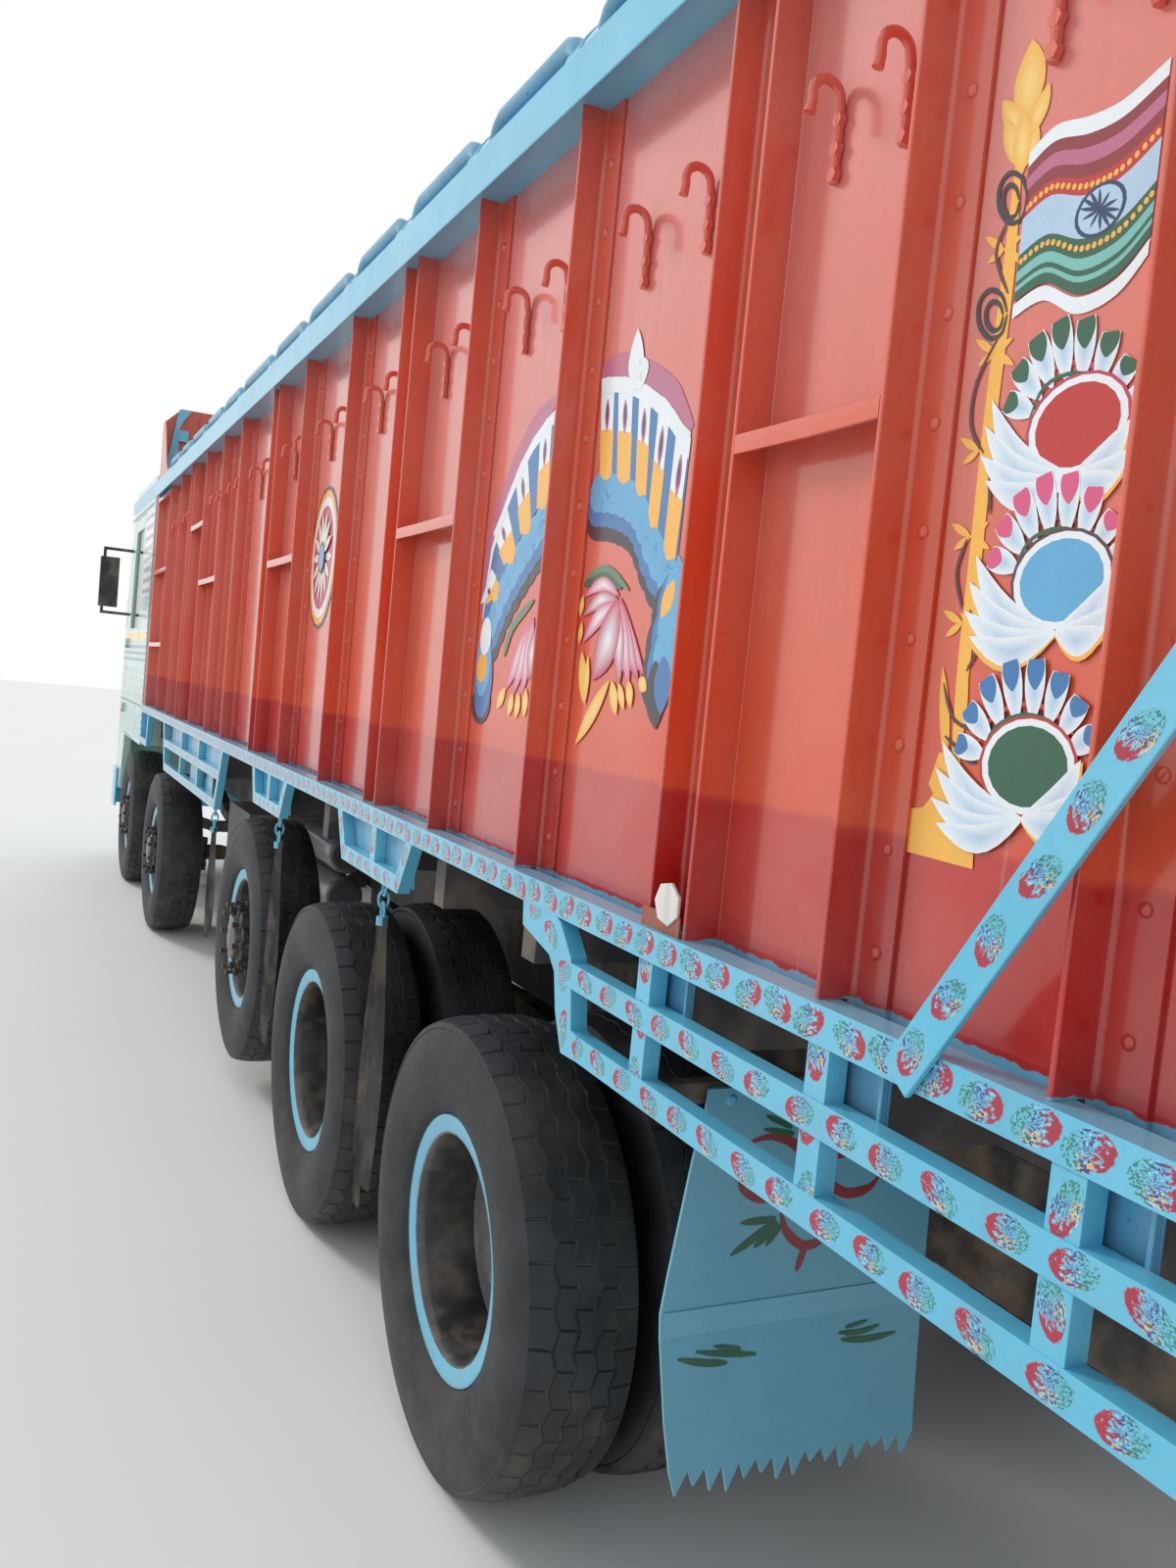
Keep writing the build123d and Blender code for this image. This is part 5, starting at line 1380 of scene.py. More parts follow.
class Brush:
    # strokes given in the places of one drawing, laid over the wall's sheet in growing layers
    # corner and zoom place a drawing that follows the photograph; a free drawing has a scale instead
    def __init__(self, shape, corner, zoom=1, scale=None, coat=0.00003):
        self.shape = shape
        self.corner = corner
        self.zoom = zoom
        self.scale = scale
        self.coat = coat
        self.level = 0
        self.wet = None

    def lift(self, tone, heart=None):  # strokes of one plain tone share a layer
        if heart or tone != self.wet:
            self.level += 1
        self.wet = None if heart else tone
        return 0.0011 + self.coat * self.level

    def spot(self, place):  # a place in the drawing to a place ahead of the last axle and a height
        u, v = place
        if self.scale:
            return self.corner[0] + u * self.scale[0], self.corner[1] + v * self.scale[1]
        across = self.corner[0] + u / self.zoom - view["width"] / 2
        down = self.corner[1] + v / self.zoom - view["height"] / 2
        ray = view["right"] * (across / view["focal"]) - view["up"] * (down / view["focal"]) - view["back"]
        reach = (wall["panelY"] - view["place"].y) / ray.y
        return view["place"].x + ray.x * reach - rowStart, view["place"].z + ray.z * reach

    def cover(self, places, faces, tints, lift):
        points = [(at(x), wall["panelY"] + panelWave(at(x), z) + lift, z) for x, z in places]
        self.shape.add(points, faces, tints)

    def lay(self, outline, middle, rim, heart=None):
        # rings of faces from the middle out to the outline, close enough to follow the sheet's waves
        lift = self.lift(rim, heart)
        inner, outer = brushTones[heart or rim], brushTones[rim]
        places, tints = [middle], [inner]
        for share in (.34, .67, 1.0):
            places += [between(middle, place, share) for place in outline]
            tints += [tuple(a + (b - a) * share for a, b in zip(inner, outer))] * len(outline)
        count = len(outline)
        faces = [(0, 1 + step, 1 + (step + 1) % count) for step in range(count)]
        for first in (1, 1 + count):
            faces += [(first + step, first + count + step, first + count + (step + 1) % count,
                       first + (step + 1) % count) for step in range(count)]
        self.cover(places, faces, tints, lift)

    def disc(self, place, half, tone, heart=None):
        x, z = self.spot(place)
        ring = [(x + half[0] * cos(tau * step / 20), z + half[1] * sin(tau * step / 20))
                for step in range(20)]
        self.lay(ring, (x, z), tone, heart)

    def leaf(self, foot, tip, width, tone, heart=None, bow=0.0, blunt=0.0):
        # petal from its foot to its tip; bow bends it, blunt keeps the tip wide
        foot, tip = Vector(self.spot(foot)), Vector(self.spot(tip))
        along = tip - foot
        across = Vector((-along.y, along.x)).normalized()
        left, right = [], []
        for step in range(9):
            share = step / 8
            half = width / 2 * (sin(pi * min(1.0, share * (1 - 0.5 * blunt) + 0.02)) ** 0.75)
            centre = foot + along * share + across * bow * along.length * sin(pi * share) * 0.5
            left.append(tuple(centre + across * half))
            right.append(tuple(centre - across * half))
        middle = foot + along * 0.45 + across * bow * along.length * 0.5
        self.lay(left + right[::-1], tuple(middle), tone, heart)

    def stroke(self, places, width, tone):  # one run of the brush, tapered at both ends
        lift = self.lift(tone)
        spots = [self.spot(place) for place in places]
        line = fineLine(spots, 4 * len(spots) - 3)
        self.cover(ribbon(line, width, 0.35, 3.0), rowFaces(len(line) - 1, 2, closed=False),
                   [brushTones[tone]] * 2 * len(line), lift)

    def band(self, top, foot, low, high, tone):
        # part of the cloth between two wavy edges, from the share low to the share high below the top
        lift = self.lift(tone)
        places = [between(self.spot(upper), self.spot(lower), share) for upper, lower in zip(top, foot)
                  for share in (low, high)]
        self.cover(places, rowFaces(len(top) - 1, 2, closed=False), [brushTones[tone]] * len(places), lift)


art = Shape()


def drawArch(brush, upper, lower, tongues, shadow):
    # garland of tongues, white above and yellow below, over scallops of two blues and a dark shade
    top, foot = fineLine(upper, 2 * tongues + 1), fineLine(lower, 2 * tongues + 1)
    brush.stroke([(u, v - 34) for u, v in top], 0.06, "mauve")
    for drop, half, tone in ((shadow, (.062, .052), "black"), (shadow * .62, (.058, .048), "blue"),
                             (shadow * .3, (.046, .04), "sky")):
        for u, v in foot:
            brush.disc((u + 4, v + drop), half, tone)
    brush.band(top, foot, 0.10, 0.90, "blue")
    for index in range(0, 2 * tongues, 2):
        a, b, c = top[index:index + 3]
        d, e, f = foot[index:index + 3]
        span = (f[0] - d[0]) * 0.37
        for low, high, tone in ((0.0, 0.56, "white"), (0.5, 0.94, "yellow")):
            head, tail = between(b, e, low), between(b, e, high)
            leftHead, leftTail = between(a, d, low)[1], between(a, d, high)[1]
            rightHead, rightTail = between(c, f, low)[1], between(c, f, high)[1]
            ring = [(head[0] - span * 1.12, (leftHead + head[1]) / 2), (head[0], head[1] - 4),
                    (head[0] + span * 1.12, (rightHead + head[1]) / 2),
                    (tail[0] + span, (rightTail + tail[1]) / 2 - 14), (tail[0] + span * 0.6, tail[1] + 8),
                    (tail[0], tail[1] + 16), (tail[0] - span * 0.6, tail[1] + 8),
                    (tail[0] - span, (leftTail + tail[1]) / 2 - 14)]
            brush.lay([brush.spot(place) for place in ring], brush.spot(between(head, tail, 0.5)), tone)
        brush.leaf(between(b, e, 0.2), between(b, e, 0.52), 0.020, "mauve")
        brush.leaf(between(b, e, 0.24), between(b, e, 0.46), 0.010, "navy")
    brush.band(top, foot, 0.0, 0.15, "white")


gate = Brush(art, (470, 320), 4)
drawArch(gate, [(92, 1250), (130, 960), (205, 720), (300, 510), (395, 385)],
         [(120, 1225), (175, 1085), (240, 960), (300, 860), (360, 770)], 4, 120)
gate.disc((85, 1590), (.062, .050), "black")
gate.disc((95, 1500), (.058, .090), "blue")
gate.disc((97, 1420), (.048, .085), "sky")
gate.disc((90, 1445), (.034, .036), "yellow")
gate.disc((106, 1318), (.036, .045), "white")
for tip in ((185, 1540), (215, 1560), (250, 1565)):
    gate.leaf((300, 1240), tip, .050, "pink", "white")
gate.leaf((305, 1290), (280, 1500), .055, "rose", "white")
for foot, tip in (((185, 1530), (148, 1612)), ((215, 1550), (195, 1645)), ((240, 1550), (226, 1655)),
                  ((268, 1530), (262, 1650))):
    gate.leaf(foot, tip, .034, "yellow", "cream")
gate.stroke([(178, 1400), (215, 1280), (300, 1170)], .022, "leaf")

bloom = Brush(art, (470, 320), 4)
drawArch(bloom, [(580, 268), (660, 258), (760, 292), (860, 370), (945, 510)],
         [(566, 690), (650, 700), (738, 760), (800, 930), (880, 1075)], 5, 130)
for place in ((905, 1150), (880, 1280), (862, 1400)):
    bloom.disc((place[0] - 66, place[1] + 80), (.050, .06), "black")
    bloom.disc((place[0] - 40, place[1] + 40), (.050, .06), "blue")
    bloom.disc((place[0] - 24, place[1]), (.042, .05), "sky")
bloom.leaf((800, 1420), (800, 1700), .075, "black")
bloom.leaf((835, 1400), (822, 1640), .060, "blue")
bloom.leaf((880, 1090), (822, 1245), .040, "yellow")
bloom.leaf((745, 300), (728, 60), .062, "white", bow=-0.25)
bloom.leaf((745, 300), (735, 180), .075, "white", bow=-0.2)
bloom.stroke([(508, 1108), (590, 1062), (660, 1120)], .026, "green")
bloom.stroke([(520, 1080), (600, 1040), (690, 1130)], .014, "leaf")
for foot, tip, width, tone, heart, bow in (((650, 1150), (505, 1160), .030, "pink", "white", .3),
                                           ((645, 1165), (498, 1240), .034, "rose", "white", .2),
                                           ((640, 1180), (500, 1345), .040, "pink", "white", .15),
                                           ((655, 1160), (755, 1475), .040, "pink", "white", .12),
                                           ((655, 1165), (732, 1505), .042, "rose", "white", .08),
                                           ((650, 1170), (692, 1525), .044, "pink", "white", .0),
                                           ((645, 1180), (650, 1530), .046, "rose", "white", -.04),
                                           ((650, 1170), (540, 1500), .092, "rose", "white", -.1)):
    bloom.leaf(foot, tip, width, tone, heart, bow)
for foot, tip, width in (((610, 1500), (472, 1760), .038), ((500, 1380), (505, 1590), .036),
                         ((525, 1400), (510, 1600), .026), ((620, 1500), (640, 1640), .032),
                         ((690, 1500), (700, 1610), .028), ((735, 1490), (765, 1540), .028),
                         ((505, 1150), (492, 1240), .022), ((500, 1260), (488, 1350), .022),
                         ((650, 1510), (672, 1620), .024)):
    bloom.leaf(foot, tip, width, "yellow", "cream")


def drawLotus(brush, u, v, disc, tips, trim):  # disc in a crown of tipped petals, with leaves to both sides
    brush.stroke([(u + 112 * cos(angle), v - 128 * sin(angle)) for angle in (2.9, 2.3, 1.7, 1.1, .5)], .006,
                 trim)
    for step in range(8):
        angle = radians(166 - step * 21)
        foot = (u + 88 * cos(angle), v - 92 * sin(angle))
        tip = (u + 148 * cos(angle), v - (196 + 26 * sin(angle)) * sin(angle))
        brush.leaf(foot, tip, .030, "white", "ice", blunt=0.6)
        near = (u + 124 * cos(angle), v - 158 * sin(angle))
        brush.leaf(near, tip, .026, tips, blunt=0.6)
    brush.stroke([(u + 96 * cos(angle), v - 106 * sin(angle)) for angle in (3.0, 2.3, 1.6, .9, .2)], .005,
                 "green")
    for reach, tone in ((1.28, trim), (1.2, "white")):
        brush.disc((u, v), (.058 * reach, .045 * reach), tone)
    brush.disc((u, v), (.060, .046), disc)
    for side, tips in ((-1, ((-172, -48), (-186, 6), (-196, 66), (-186, 118))),
                       (1, ((112, -10), (118, 52), (92, 104)))):
        for dx, dz in tips:
            if trim == "brown" or side == 1:
                brush.leaf((u - 10, v + 112), (u + dx * 1.04, v + dz), .040, "yellow", bow=0.3 * side)
            brush.leaf((u - 10, v + 108), (u + dx, v + dz - 4), .034, "white", "ice", bow=0.3 * side)


staff = Brush(art, (880, 20), 2)
staff.stroke([(325, 250), (300, 520), (262, 820), (232, 1100), (205, 1350), (185, 1560)], .022, "yellow")
for foot, tip, width in (((338, 210), (350, 40), .050), ((330, 240), (288, 165), .026),
                         ((345, 240), (386, 128), .026), ((322, 300), (293, 200), .024),
                         ((335, 300), (362, 215), .024), ((326, 320), (333, 180), .030)):
    staff.leaf(foot, tip, width, "yellow", "cream")
for u, v in ((292, 470), (272, 680), (240, 880), (222, 1055), (205, 1232)):
    for dx, dz in ((-38, -26), (38, -30), (-34, 28), (40, 26)):
        staff.leaf((u, v), (u + dx, v + dz), .010, "yellow")
staff.lay([staff.spot(place) for place in ((76, 1694), (82, 1612), (118, 1616), (146, 1580), (136, 1560),
                                           (158, 1496), (200, 1496), (206, 1560), (196, 1590), (204, 1634),
                                           (231, 1634), (226, 1734))], staff.spot((165, 1600)), "yellow")
staff.leaf((172, 1520), (166, 1318), .018, "yellow")
staff.leaf((196, 1500), (217, 1322), .014, "yellow")
flagTop = fineLine([(345, 272), (400, 216), (470, 196), (540, 160), (632, 76)], 25)
flagFoot = fineLine([(308, 612), (372, 574), (440, 602), (520, 562), (584, 480)], 25)
for low, high, tone in ((.0, .09, "white"), (.09, .16, "maroon"), (.16, .24, "mauve"), (.24, .31, "maroon"),
                        (.31, .40, "red"), (.40, .62, "ice"), (.62, .72, "green"), (.72, .78, "teal"),
                        (.78, .81, "green"), (.81, .84, "teal"), (.84, .90, "green"), (.915, 1.0, "white")):
    staff.band(flagTop, flagFoot, low, high, tone)
for upper, lower in zip(flagTop[1:24], flagFoot[1:24]):
    for share in (.355, .67):
        staff.disc(between(upper, lower, share), (.0032, .0036), "yellow")
staff.disc((487, 388), (.035, .029), "navy")
staff.disc((487, 388), (.030, .025), "ice")
for step in range(12):
    staff.leaf((487, 388), (487 + 42 * cos(tau * step / 12), 388 + 44 * sin(tau * step / 12)), .0045,
               "navy")
coil = (0, .9, 1.8, 2.7, 3.6, 4.5, 5.4, 6.2)
for u, v, wide, tall in ((310, 365, 30, 52), (306, 372, 17, 34), (268, 602, 30, 50), (272, 606, 18, 30)):
    staff.stroke([(u + wide * cos(angle), v + tall * sin(angle)) for angle in coil], .006, "black")
for vine in ([(300, 410), (276, 480), (300, 560)], [(285, 640), (236, 740), (224, 830), (250, 885)],
             [(262, 925), (262, 1010)], [(216, 1060), (194, 1130), (206, 1205)],
             [(222, 1205), (236, 1280), (214, 1330)], [(168, 1355), (190, 1430), (250, 1455)],
             [(170, 1462), (215, 1505)]):
    staff.stroke(vine, .005, "brown")
staff.leaf((236, 1440), (276, 1470), .020, "black")
staff.leaf((200, 1478), (232, 1520), .018, "black")
drawLotus(staff, 440, 828, "red", "green", "rose")
drawLotus(staff, 408, 1145, "sky", "pink", "brown")
drawLotus(staff, 340, 1525, "green", "blue", "red")
emblem = Brush(art, (2.02, 2.21), scale=(-0.0011, -0.0010), coat=0.0004)
for half, tone in (((.205, .262), "black"), ((.19, .247), "yellow"), ((.17, .222), "white"),
                   ((.145, .19), "rose")):
    emblem.disc((0, 0), half, tone)
for step in range(14):
    angle = tau * step / 14
    emblem.leaf((30 * cos(angle), 40 * sin(angle)), (118 * cos(angle), 168 * sin(angle)), .030, "white",
                "cream")
emblem.disc((0, 0), (.046, .058), "navy")
emblem.disc((0, 0), (.036, .046), "sky")

putSides("wallOrnaments", art, brushPaint, "orange_steel", tintName="paintColor", smooth=0,
         facing=(0, 1, 0))
print("wall ornaments painted:", len(art.faces), "faces")


# mud flaps behind the last axle: a folded, toothed sheet with painted scrolls, hung from a bar

flap = dict(x=at(-0.884), thick=0.006, lift=0.0006, teeth=15, outerY=1.104, toothedWidth=.514,
            toothTipZ=.478, toothRootZ=.521, sheetTone=(0.13, 0.40, 0.54, 1.0),
            foldTone=(0.16, 0.45, 0.60, 1.0), boltYs=(.70, .82, .94, 1.06))
flapOutline = [(.66, 1.178), (1.106, 1.178), (1.108, 1.136), (1.122, 1.065), (1.147, .869), (1.154, .803),
               (1.150, .760), (1.126, .614), (1.106, .522)]
# each stroke's tone, width and places across the truck and up
flapStrokes = [("maroon", .021, [(1.013, 1.084), (.974, 1.09), (.927, 1.075), (.9, 1.043), (.909, 1.009),
                                 (.939, .993), (.983, .984), (1.021, 1.003), (1.029, 1.03)]),
               ("maroon", .019, [(.877, 1.026), (.853, 1.004), (.806, .978), (.759, .982), (.737, 1.002)]),
               ("maroon", .017, [(.874, 1.021), (.854, 1.047), (.815, 1.045)]),
               ("maroon", .017, [(.938, .956), (.923, .921), (.885, .892), (.848, .9), (.865, .929)]),
               ("maroon", .014, [(.879, .895), (.893, .847)]),
               ("green", .013, [(.947, .945), (1.018, .945)]),
               ("green", .015, [(.946, .941), (1.031, .89)]),
               ("green", .014, [(.941, .937), (.986, .899)]),
               ("green", .012, [(.936, .933), (.962, .9)]),
               ("green", .010, [(.935, 1.104), (.99, 1.128)]),
               ("green", .010, [(.929, 1.092), (.991, 1.104)]),
               ("green", .013, [(1.015, .702), (1.06, .708), (1.113, .722)]),
               ("green", .011, [(.958, .709), (1.02, .718), (1.08, .73)]),
               ("green", .009, [(.991, .723), (1.046, .735)]),
               ("green", .012, [(.78, .709), (.72, .702), (.658, .706)]),
               ("green", .010, [(.787, .722), (.74, .718), (.698, .725)]),
               ("green", .007, [(.773, .73), (.725, .737)])]


def makeFlap():
    shape = Shape()
    outline = list(flapOutline)
    pitch = flap["toothedWidth"] / flap["teeth"]
    for step in range(flap["teeth"]):
        y = flap["outerY"] - (step + .5) * pitch
        outline += [(y + .004, flap["toothTipZ"] + .012 * sin(step * 1.7)),
                    (y - pitch / 2, flap["toothRootZ"] - .014 * step / flap["teeth"])]
    outline += [(.594, .541), (.606, .76), (.611, .931)]
    rear, front = flap["x"] - flap["thick"] / 2, flap["x"] + flap["thick"] / 2
    addSweep(shape, [[(x, y, z) for y, z in outline] for x in (rear, front)], flap["sheetTone"])
    addBox(shape, (rear - .0022, .608, .762), (rear, 1.147, .806), flap["foldTone"])
    addBox(shape, (front, .62, 1.146), (front + .006, 1.10, 1.178), flap["sheetTone"])
    for y in flap["boltYs"]:
        addRoundHead(shape, (rear, y, 1.158), .011, .004, brushTones["sky"])
    return shape


def addRoundHead(shape, centre, radius, height, tint):  # low round head that faces rearwards
    x, y, z = centre
    points = [(x - height, y, z)]
    for reach, lift in ((.6, .85), (1.0, 0.0)):
        points += [(x - height * lift, y + radius * reach * cos(tau * step / 12),
                    z + radius * reach * sin(tau * step / 12)) for step in range(12)]
    faces = [(0, 1 + step, 1 + (step + 1) % 12) for step in range(12)]
    faces += [(1 + step, 13 + step, 13 + (step + 1) % 12, 1 + (step + 1) % 12) for step in range(12)]
    faces += [tuple(range(24, 12, -1))]
    shape.add(points, faces, [tint] * len(points))


def makeFlapPaint():
    shape = Shape()
    rear = flap["x"] - flap["thick"] / 2 - flap["lift"]
    for order, (tone, width, places) in enumerate(flapStrokes):
        count = 6 * len(places) if len(places) > 2 else 8
        sides = ribbon(fineLine(places, count), width, .25, 2.2, early=1)
        points = [(rear - .00006 * order, y, z) for y, z in sides]
        shape.add(points, rowFaces(count - 1, 2, closed=False), [brushTones[tone]] * len(points))
    return shape


putSides("mudFlap", makeFlap(), brushPaint, "flap_sheet", tintName="paintColor", bevel=0.0006)
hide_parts("mud_flaps")
putSides("flapScrolls", makeFlapPaint(), brushPaint, "flap_sheet", tintName="paintColor", smooth=0,
         facing=(-1, 0, 0))
bar = Shape()
addBox(bar, (at(-.880) + .004, .43, 1.150), (at(-.880) + .034, 1.18, 1.186))
putSides("flapBar", bar, chassisBlack, "chassis_steel", bevel=0.002)
print("mud flaps built")


# dark cloths tied to the guards with steel rings

cloth = dict(width=0.30, strands=5, columns=5, rows=26, y=1.196)
# each cloth's place ahead of the last axle, the foot of the guard above it and its own foot
clothPlaces = [(3.64, 1.085, .43), (2.13, 1.235, .34), (.71, 1.235, .31)]


def makeCloth(ahead, top, bottom, seed):  # gathered at the knot, slit into strands that part lower down
    shape = Shape()
    length = top - bottom
    strandWidth = cloth["width"] / cloth["strands"]
    wide = cloth["columns"] + 1
    faces = rowFaces(cloth["rows"], wide, closed=False)
    area = 0.0
    for strand in range(cloth["strands"]):
        own = length * (1.0 - .16 * abs(sin(seed * 2.3 + strand * 1.9)))
        side = strand - (cloth["strands"] - 1) / 2
        points = []
        for row in range(cloth["rows"] + 1):
            share = row / cloth["rows"]
            spread = .027 * side * (.25 + 1.2 * sin(pi * min(1.0, share * .72)) ** 1.3)
            sway = .014 * sin(share * 5.0 + seed + strand * 1.3) * share
            tight = .30 + .42 * min(1.0, share * 2.4)
            fold = strandWidth / cloth["columns"] * sqrt(1 - tight * tight)
            for column in range(wide):
                across = (column / cloth["columns"] - .5) * strandWidth
                depth = fold * (column % 2 - .5)
                points.append((at(ahead) + spread + across * tight + sway,
                               cloth["y"] + depth + .004 * (strand % 2) - .002, top - own * share))
        shape.add(points, faces)
        for face in faces:
            a, b, c, d = [Vector(points[index]) for index in face]
            area += (b - a).cross(c - a).length / 2 + (c - a).cross(d - a).length / 2
    return shape, area


def addRing(shape, centre, radius, wire, turned):  # round link; turned lays it across the row
    path = []
    for step in range(17):
        angle = tau * step / 16
        side, lift = radius * .62 * cos(angle), radius * sin(angle)
        path.append((centre[0] + (0 if turned else side), centre[1] + (side if turned else 0),
                     centre[2] + lift))
    addTube(shape, path, wire, 8, capped=False)


links = Shape()
for order, (ahead, top, bottom) in enumerate(clothPlaces):
    shape, area = makeCloth(ahead, top - .095, bottom, order + 1.0)
    for side, sign in sideNames:
        piece = makeObject("hangingCloth" + str(order + 1) + side.capitalize(), shape.onSide(sign),
                           tasselCloth, smooth=60.0, facing=(0, sign, 0))
        assign(piece, "root", "strip_cloth", *(["hanging_strips"] if order == 0 and sign == 1 else []))
    for step in range(3):
        addRing(links, (at(ahead), cloth["y"], top - .012 - .034 * step), .024, .0042, step % 2 == 1)
    addTube(links, [(at(ahead), cloth["y"], top - .094), (at(ahead), cloth["y"], top - .118)], .017, 10)
putSides("guardLinks", links, skyEnamel, "blue_steel")
print("cloths tied")


# cab seats: stuffed cushions over boxed stands

def addCushion(shape, low, high, lean=0.0, puff=.02, rounding=.18):
    # rounded box with swollen faces; lean slides it rearwards with height
    count = 14
    power = 1 / rounding
    size = [(high[axis] - low[axis]) / 2 for axis in range(3)]
    middle = [(high[axis] + low[axis]) / 2 for axis in range(3)]
    for axis in range(3):
        for end in (-1, 1):
            points = []
            for first in range(count + 1):
                for second in range(count + 1):
                    unit = [0.0, 0.0, 0.0]
                    unit[axis] = end
                    unit[(axis + 1) % 3] = sin(pi / 2 * (first / count * 2 - 1))
                    unit[(axis + 2) % 3] = sin(pi / 2 * (second / count * 2 - 1))
                    scale = 1 / (sum(abs(value) ** power for value in unit) ** (1 / power))
                    place = [middle[number] + unit[number] * scale * (size[number] - puff)
                             for number in range(3)]
                    swell = puff
                    for other in ((axis + 1) % 3, (axis + 2) % 3):
                        swell *= cos(pi / 2 * min(1, abs(unit[other])))
                    place[axis] += end * swell
                    place[0] -= lean * (place[2] - low[2])
                    points.append(tuple(place))
            shape.add(points, rowFaces(count, count + 1, closed=False))


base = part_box("cab_seats")[0].z
stands = Shape()
for side, y in (("Left", .76), ("Right", -.76)):
    addBox(stands, (at(7.75), y - .23, base), (at(8.20), y + .23, base + .335))
    addBox(stands, (at(7.73), y - .12, base + .33), (at(7.77), y + .12, base + .56))
    seat, back = Shape(), Shape()
    addCushion(seat, (at(7.72), y - .25, base + .33), (at(8.23), y + .25, base + .445))
    addCushion(back, (at(7.625), y - .25, base + .41), (at(7.735), y + .25, base + 1.02), lean=.2)
    for name, shape, fill in (("seatCushion", seat, .7), ("seatBack", back, .75)):
        piece = makeObject(name + side, shape, seatCloth, smooth=50.0, joined=.0004)
        assign(piece, "root", "seat_cloth", *(["cab_seats"] if name + side == "seatCushionLeft" else []))
stand = makeObject("seatStands", stands, chassisBlack)
assign(stand, "root", "seat_cloth")
print("seats stuffed")


# the cab's painted belts, lattice, dotted corners and roof edge, and what hangs on the wall's front end

cabSide = dict(y=1.2006, coat=.00022, rear=7.345, doorRear=7.955, doorFront=8.835, front=9.155,
               figureLayer=2.27, dotLayer=3.18)


def addFlat(shape, outline, tone, layer):  # paint inside an outline of places ahead and heights
    y = cabSide["y"] + cabSide["coat"] * layer
    shape.add([(at(x), y, z) for x, z in outline], [tuple(range(len(outline)))],
              [brushTones[tone]] * len(outline))


def addPatch(shape, front, rear, low, high, tone, layer=0):
    addFlat(shape, [(front, low), (rear, low), (rear, high), (front, high)], tone, layer)


def addBelts(shape, front, rear):  # stripes and flowered panel below the window line
    for low, high, tone in ((1.905, 1.975, "cream"), (1.845, 1.87, "steel"), (1.795, 1.82, "steel"),
                            (1.745, 1.77, "steel"), (1.40, 1.418, "green"), (1.975, 1.985, "white")):
        addPatch(shape, front, rear, low, high, tone, 1)
    count = int((front - rear) / .11)
    for index in range(count):
        x = rear + (front - rear) * (index + .5) / count
        for step in range(4):
            z = 1.47 + .065 * step
            lean = .028 * (1 if (index + step) % 2 else -1)
            for turn, tone in ((1, "green"), (-1, "leaf")):
                leaf = [(x, z - .012), (x + lean * turn * .7 + .008, z + .008 * turn),
                        (x + lean * turn, z + .03 * turn), (x + lean * turn * .4 - .006, z + .014 * turn)]
                addFlat(shape, leaf, tone, cabSide["figureLayer"])
        addPatch(shape, x + .006, x - .006, 1.15, 1.385 - .03 * (index % 3), "steel", 1)


def addLattice(shape, front, rear, low, high, pitch):  # white ground with a net of diamonds
    addPatch(shape, front, rear, low, high, "white")
    across, up = max(1, round((front - rear) / pitch)), max(1, round((high - low) / pitch))
    wide, tall = (front - rear) / across * .34, (high - low) / up * .34
    for column in range(across):
        for row in range(up):
            x = rear + (front - rear) * (column + .5) / across
            z = low + (high - low) * (row + .5) / up
            addFlat(shape, [(x - wide, z), (x, z - tall), (x + wide, z), (x, z + tall)],
                    "rose" if (row + column) % 2 else "navy", cabSide["figureLayer"])


def addDots(shape, x, low, high, pitch):  # white strip with black and red dots in turn
    addPatch(shape, x + .028, x - .028, low, high, "white", 2)
    for index in range(int((high - low) / pitch)):
        z = low + (index + .5) * pitch
        ring = [(x + .017 * cos(tau * step / 10), z + .017 * sin(tau * step / 10)) for step in range(10)]
        addFlat(shape, ring, "red" if index % 2 else "black", cabSide["dotLayer"])


quarter, leaf = Shape(), Shape()
front, rear = cabSide["front"], cabSide["rear"] + .06
addLattice(quarter, cabSide["doorRear"] - .02, rear, 2.25, 2.90, .082)
addBelts(quarter, cabSide["doorRear"] - .012, rear)
addBelts(quarter, front, cabSide["doorFront"] + .006)
addBelts(leaf, cabSide["doorFront"] - .012, cabSide["doorRear"] + .014)
addPatch(quarter, front, rear, 2.93, 2.955, "navy", 1)
addPatch(quarter, front, rear, 2.99, 3.10, "sky", 1)
addDots(quarter, cabSide["rear"] + .03, 1.16, 3.08, .052)
addDots(quarter, front - .03, 2.02, 2.92, .052)
for name, shape, body in (("cabPainting", quarter, "root"), ("doorPainting", leaf, "cab_door_")):
    putSides(name, shape, brushPaint, "cab_paint", body=body, tintName="paintColor", smooth=0,
             facing=(0, 1, 0))

reflector, footPlate, gusset = Shape(), Shape(), Shape()
addPlate(reflector, [(at(-.862 + .040 * cos(tau * step / 7)), 1.478 + .036 * sin(tau * step / 7))
                     for step in range(7)], 1.2004, 1.2064)
putSides("whiteReflector", reflector, whitePaint, "lamp_plastic", bevel=.0012)
addPlate(footPlate, [(at(-.780), 1.418), (at(-.904), 1.418), (at(-.904), 1.462), (at(-.780), 1.462)],
         1.2005, 1.2035)
putSides("footPatch", footPlate, innerSteel, "orange_steel", bevel=.0008)
# light blue sheet across the corner between the bulkhead and the wall's top, with a small tab
outline = [(1.192, 3.045), (1.100, 3.610), (1.012, 3.610), (1.066, 3.530), (1.090, 3.469), (1.088, 3.290),
           (1.110, 3.045)]
front = at(7.184)
addSweep(gusset, [[(x, y, z) for y, z in outline] for x in (front, front - .006)])
addBox(gusset, (front - .010, 1.024, 3.380), (front - .004, 1.098, 3.462))
putSides("bulkheadGusset", gusset, skyEnamel, "blue_steel", bevel=.001)
print("cab painted")


# floor, camera and light

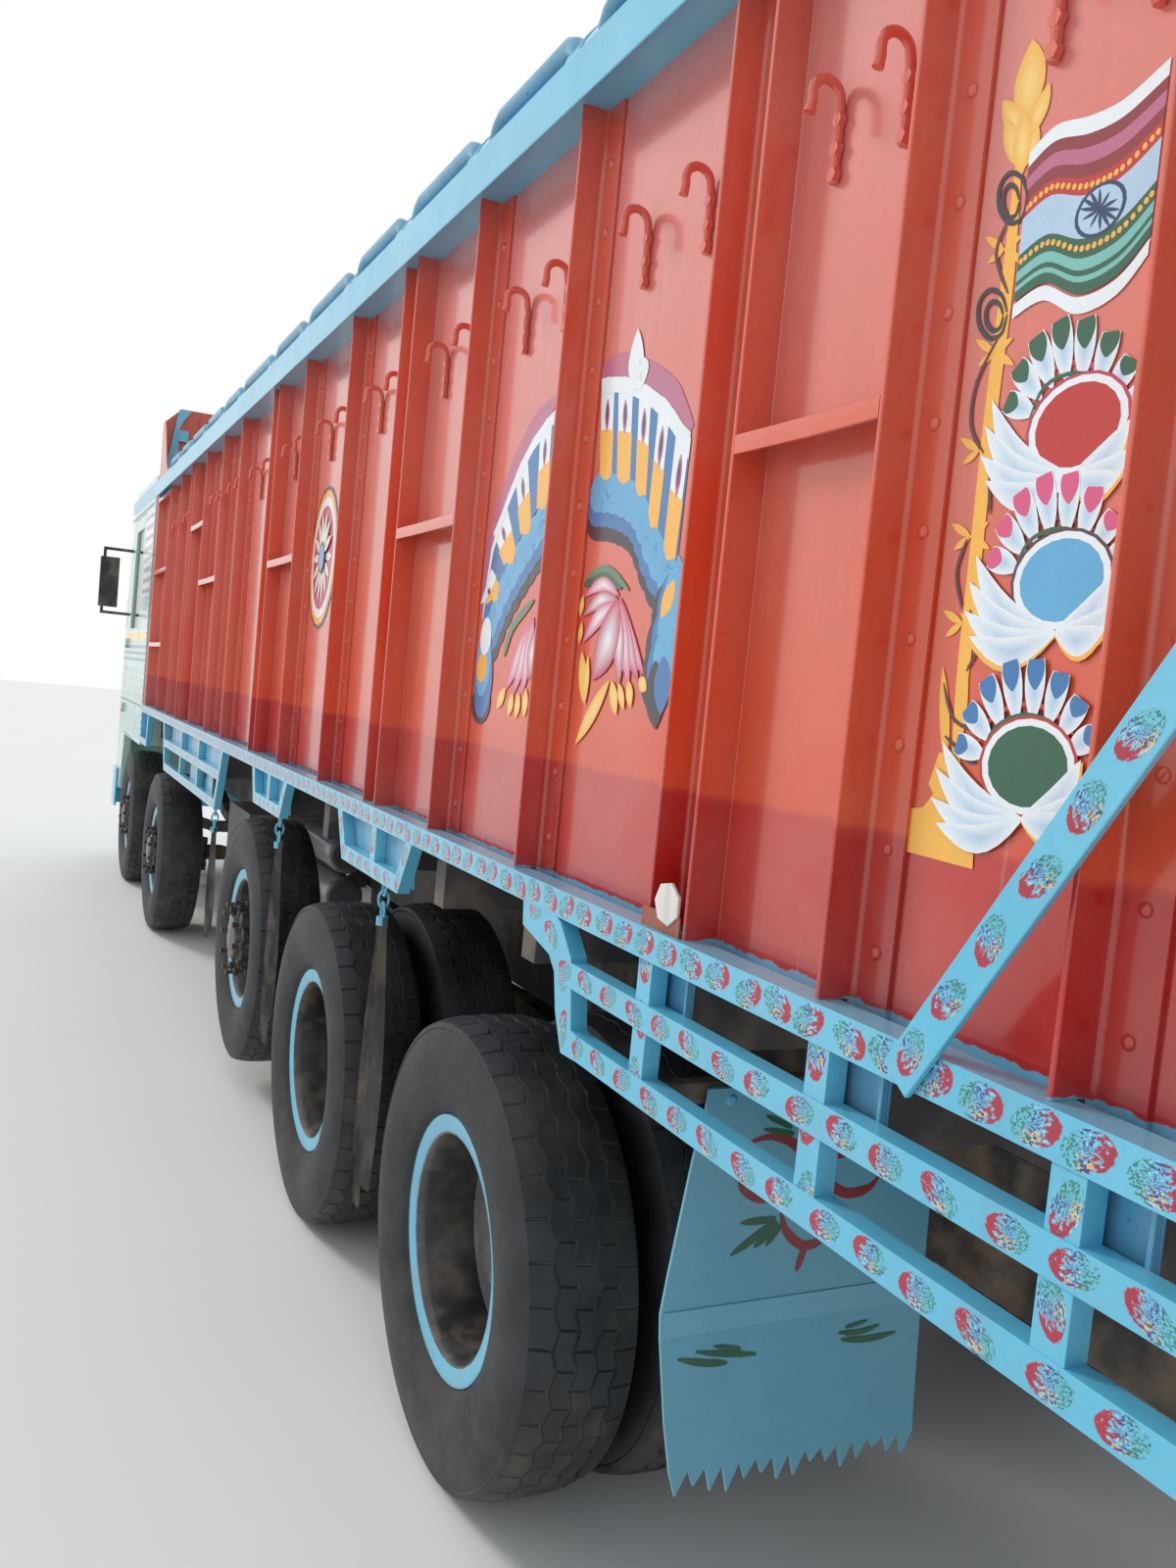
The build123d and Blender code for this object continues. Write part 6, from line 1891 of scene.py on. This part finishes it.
def makeStage():
    ground = Shape()
    ground.add([(-60, -60, 0), (60, -60, 0), (60, 60, 0), (-60, 60, 0)], [(0, 1, 2, 3)])
    finish, tree, shader = newFinish("studioFloor", Roughness=0.9)
    tone = cloudy(tree, objectPlace(tree), 0.8, 2)
    tree.links.new(blendColours(tree, times(tree, tone, 0.3), screen(236, 236, 234),
                                screen(226, 226, 224)), shader.inputs["Base Color"])
    piece = makeObject("studioFloor", ground, finish, facing=(0, 0, 1))


def makeWorld():
    world = bpy.data.worlds.new("studio")
    bpy.context.scene.world = world
    world.use_nodes = True
    tree = world.node_tree
    tree.nodes.clear()
    rays = addNode(tree, "ShaderNodeLightPath").outputs
    seen = plus(tree, rays["Is Camera Ray"], plus(tree, rays["Is Glossy Ray"], rays["Is Transmission Ray"]),
                clamp=True)
    soft = addNode(tree, "ShaderNodeBackground", {0: (0.93, 0.96, 1.0, 1.0), 1: 0.84})
    white = addNode(tree, "ShaderNodeBackground", {0: (1.0, 1.0, 1.0, 1.0), 1: 1.0})
    mixed = addNode(tree, "ShaderNodeMixShader", {0: seen, 1: soft.outputs[0], 2: white.outputs[0]})
    addNode(tree, "ShaderNodeOutputWorld", {0: mixed.outputs[0]})


def makeSun():
    lamp = bpy.data.lights.new("softSun", "SUN")
    lamp.energy = 1.7
    lamp.angle = radians(14)
    lamp.color = (1.0, 0.97, 0.92)
    sun = bpy.data.objects.new("softSun", lamp)
    bpy.context.scene.collection.objects.link(sun)
    sun.visible_glossy = False
    sun.rotation_mode = "QUATERNION"
    sun.rotation_quaternion = Vector((-0.76, -0.46, -0.46)).to_track_quat("-Z", "Y")


def makeCamera():
    lens = bpy.data.cameras.new("photoView")
    lens.sensor_fit = "VERTICAL"
    lens.sensor_height = 36.0
    lens.lens = view["focal"] / view["height"] * lens.sensor_height
    lens.clip_start = 0.05
    lens.clip_end = 200.0
    camera = bpy.data.objects.new("photoView", lens)
    bpy.context.scene.collection.objects.link(camera)
    turn = Matrix((view["right"], view["up"], view["back"])).transposed().to_4x4()
    camera.matrix_world = Matrix.Translation(view["place"]) @ turn
    bpy.context.scene.camera = camera


makeStage()
makeWorld()
makeSun()
makeCamera()
bpy.context.scene.view_settings.view_transform = "Standard"
for piece in patterns:
    bpy.data.objects.remove(piece)
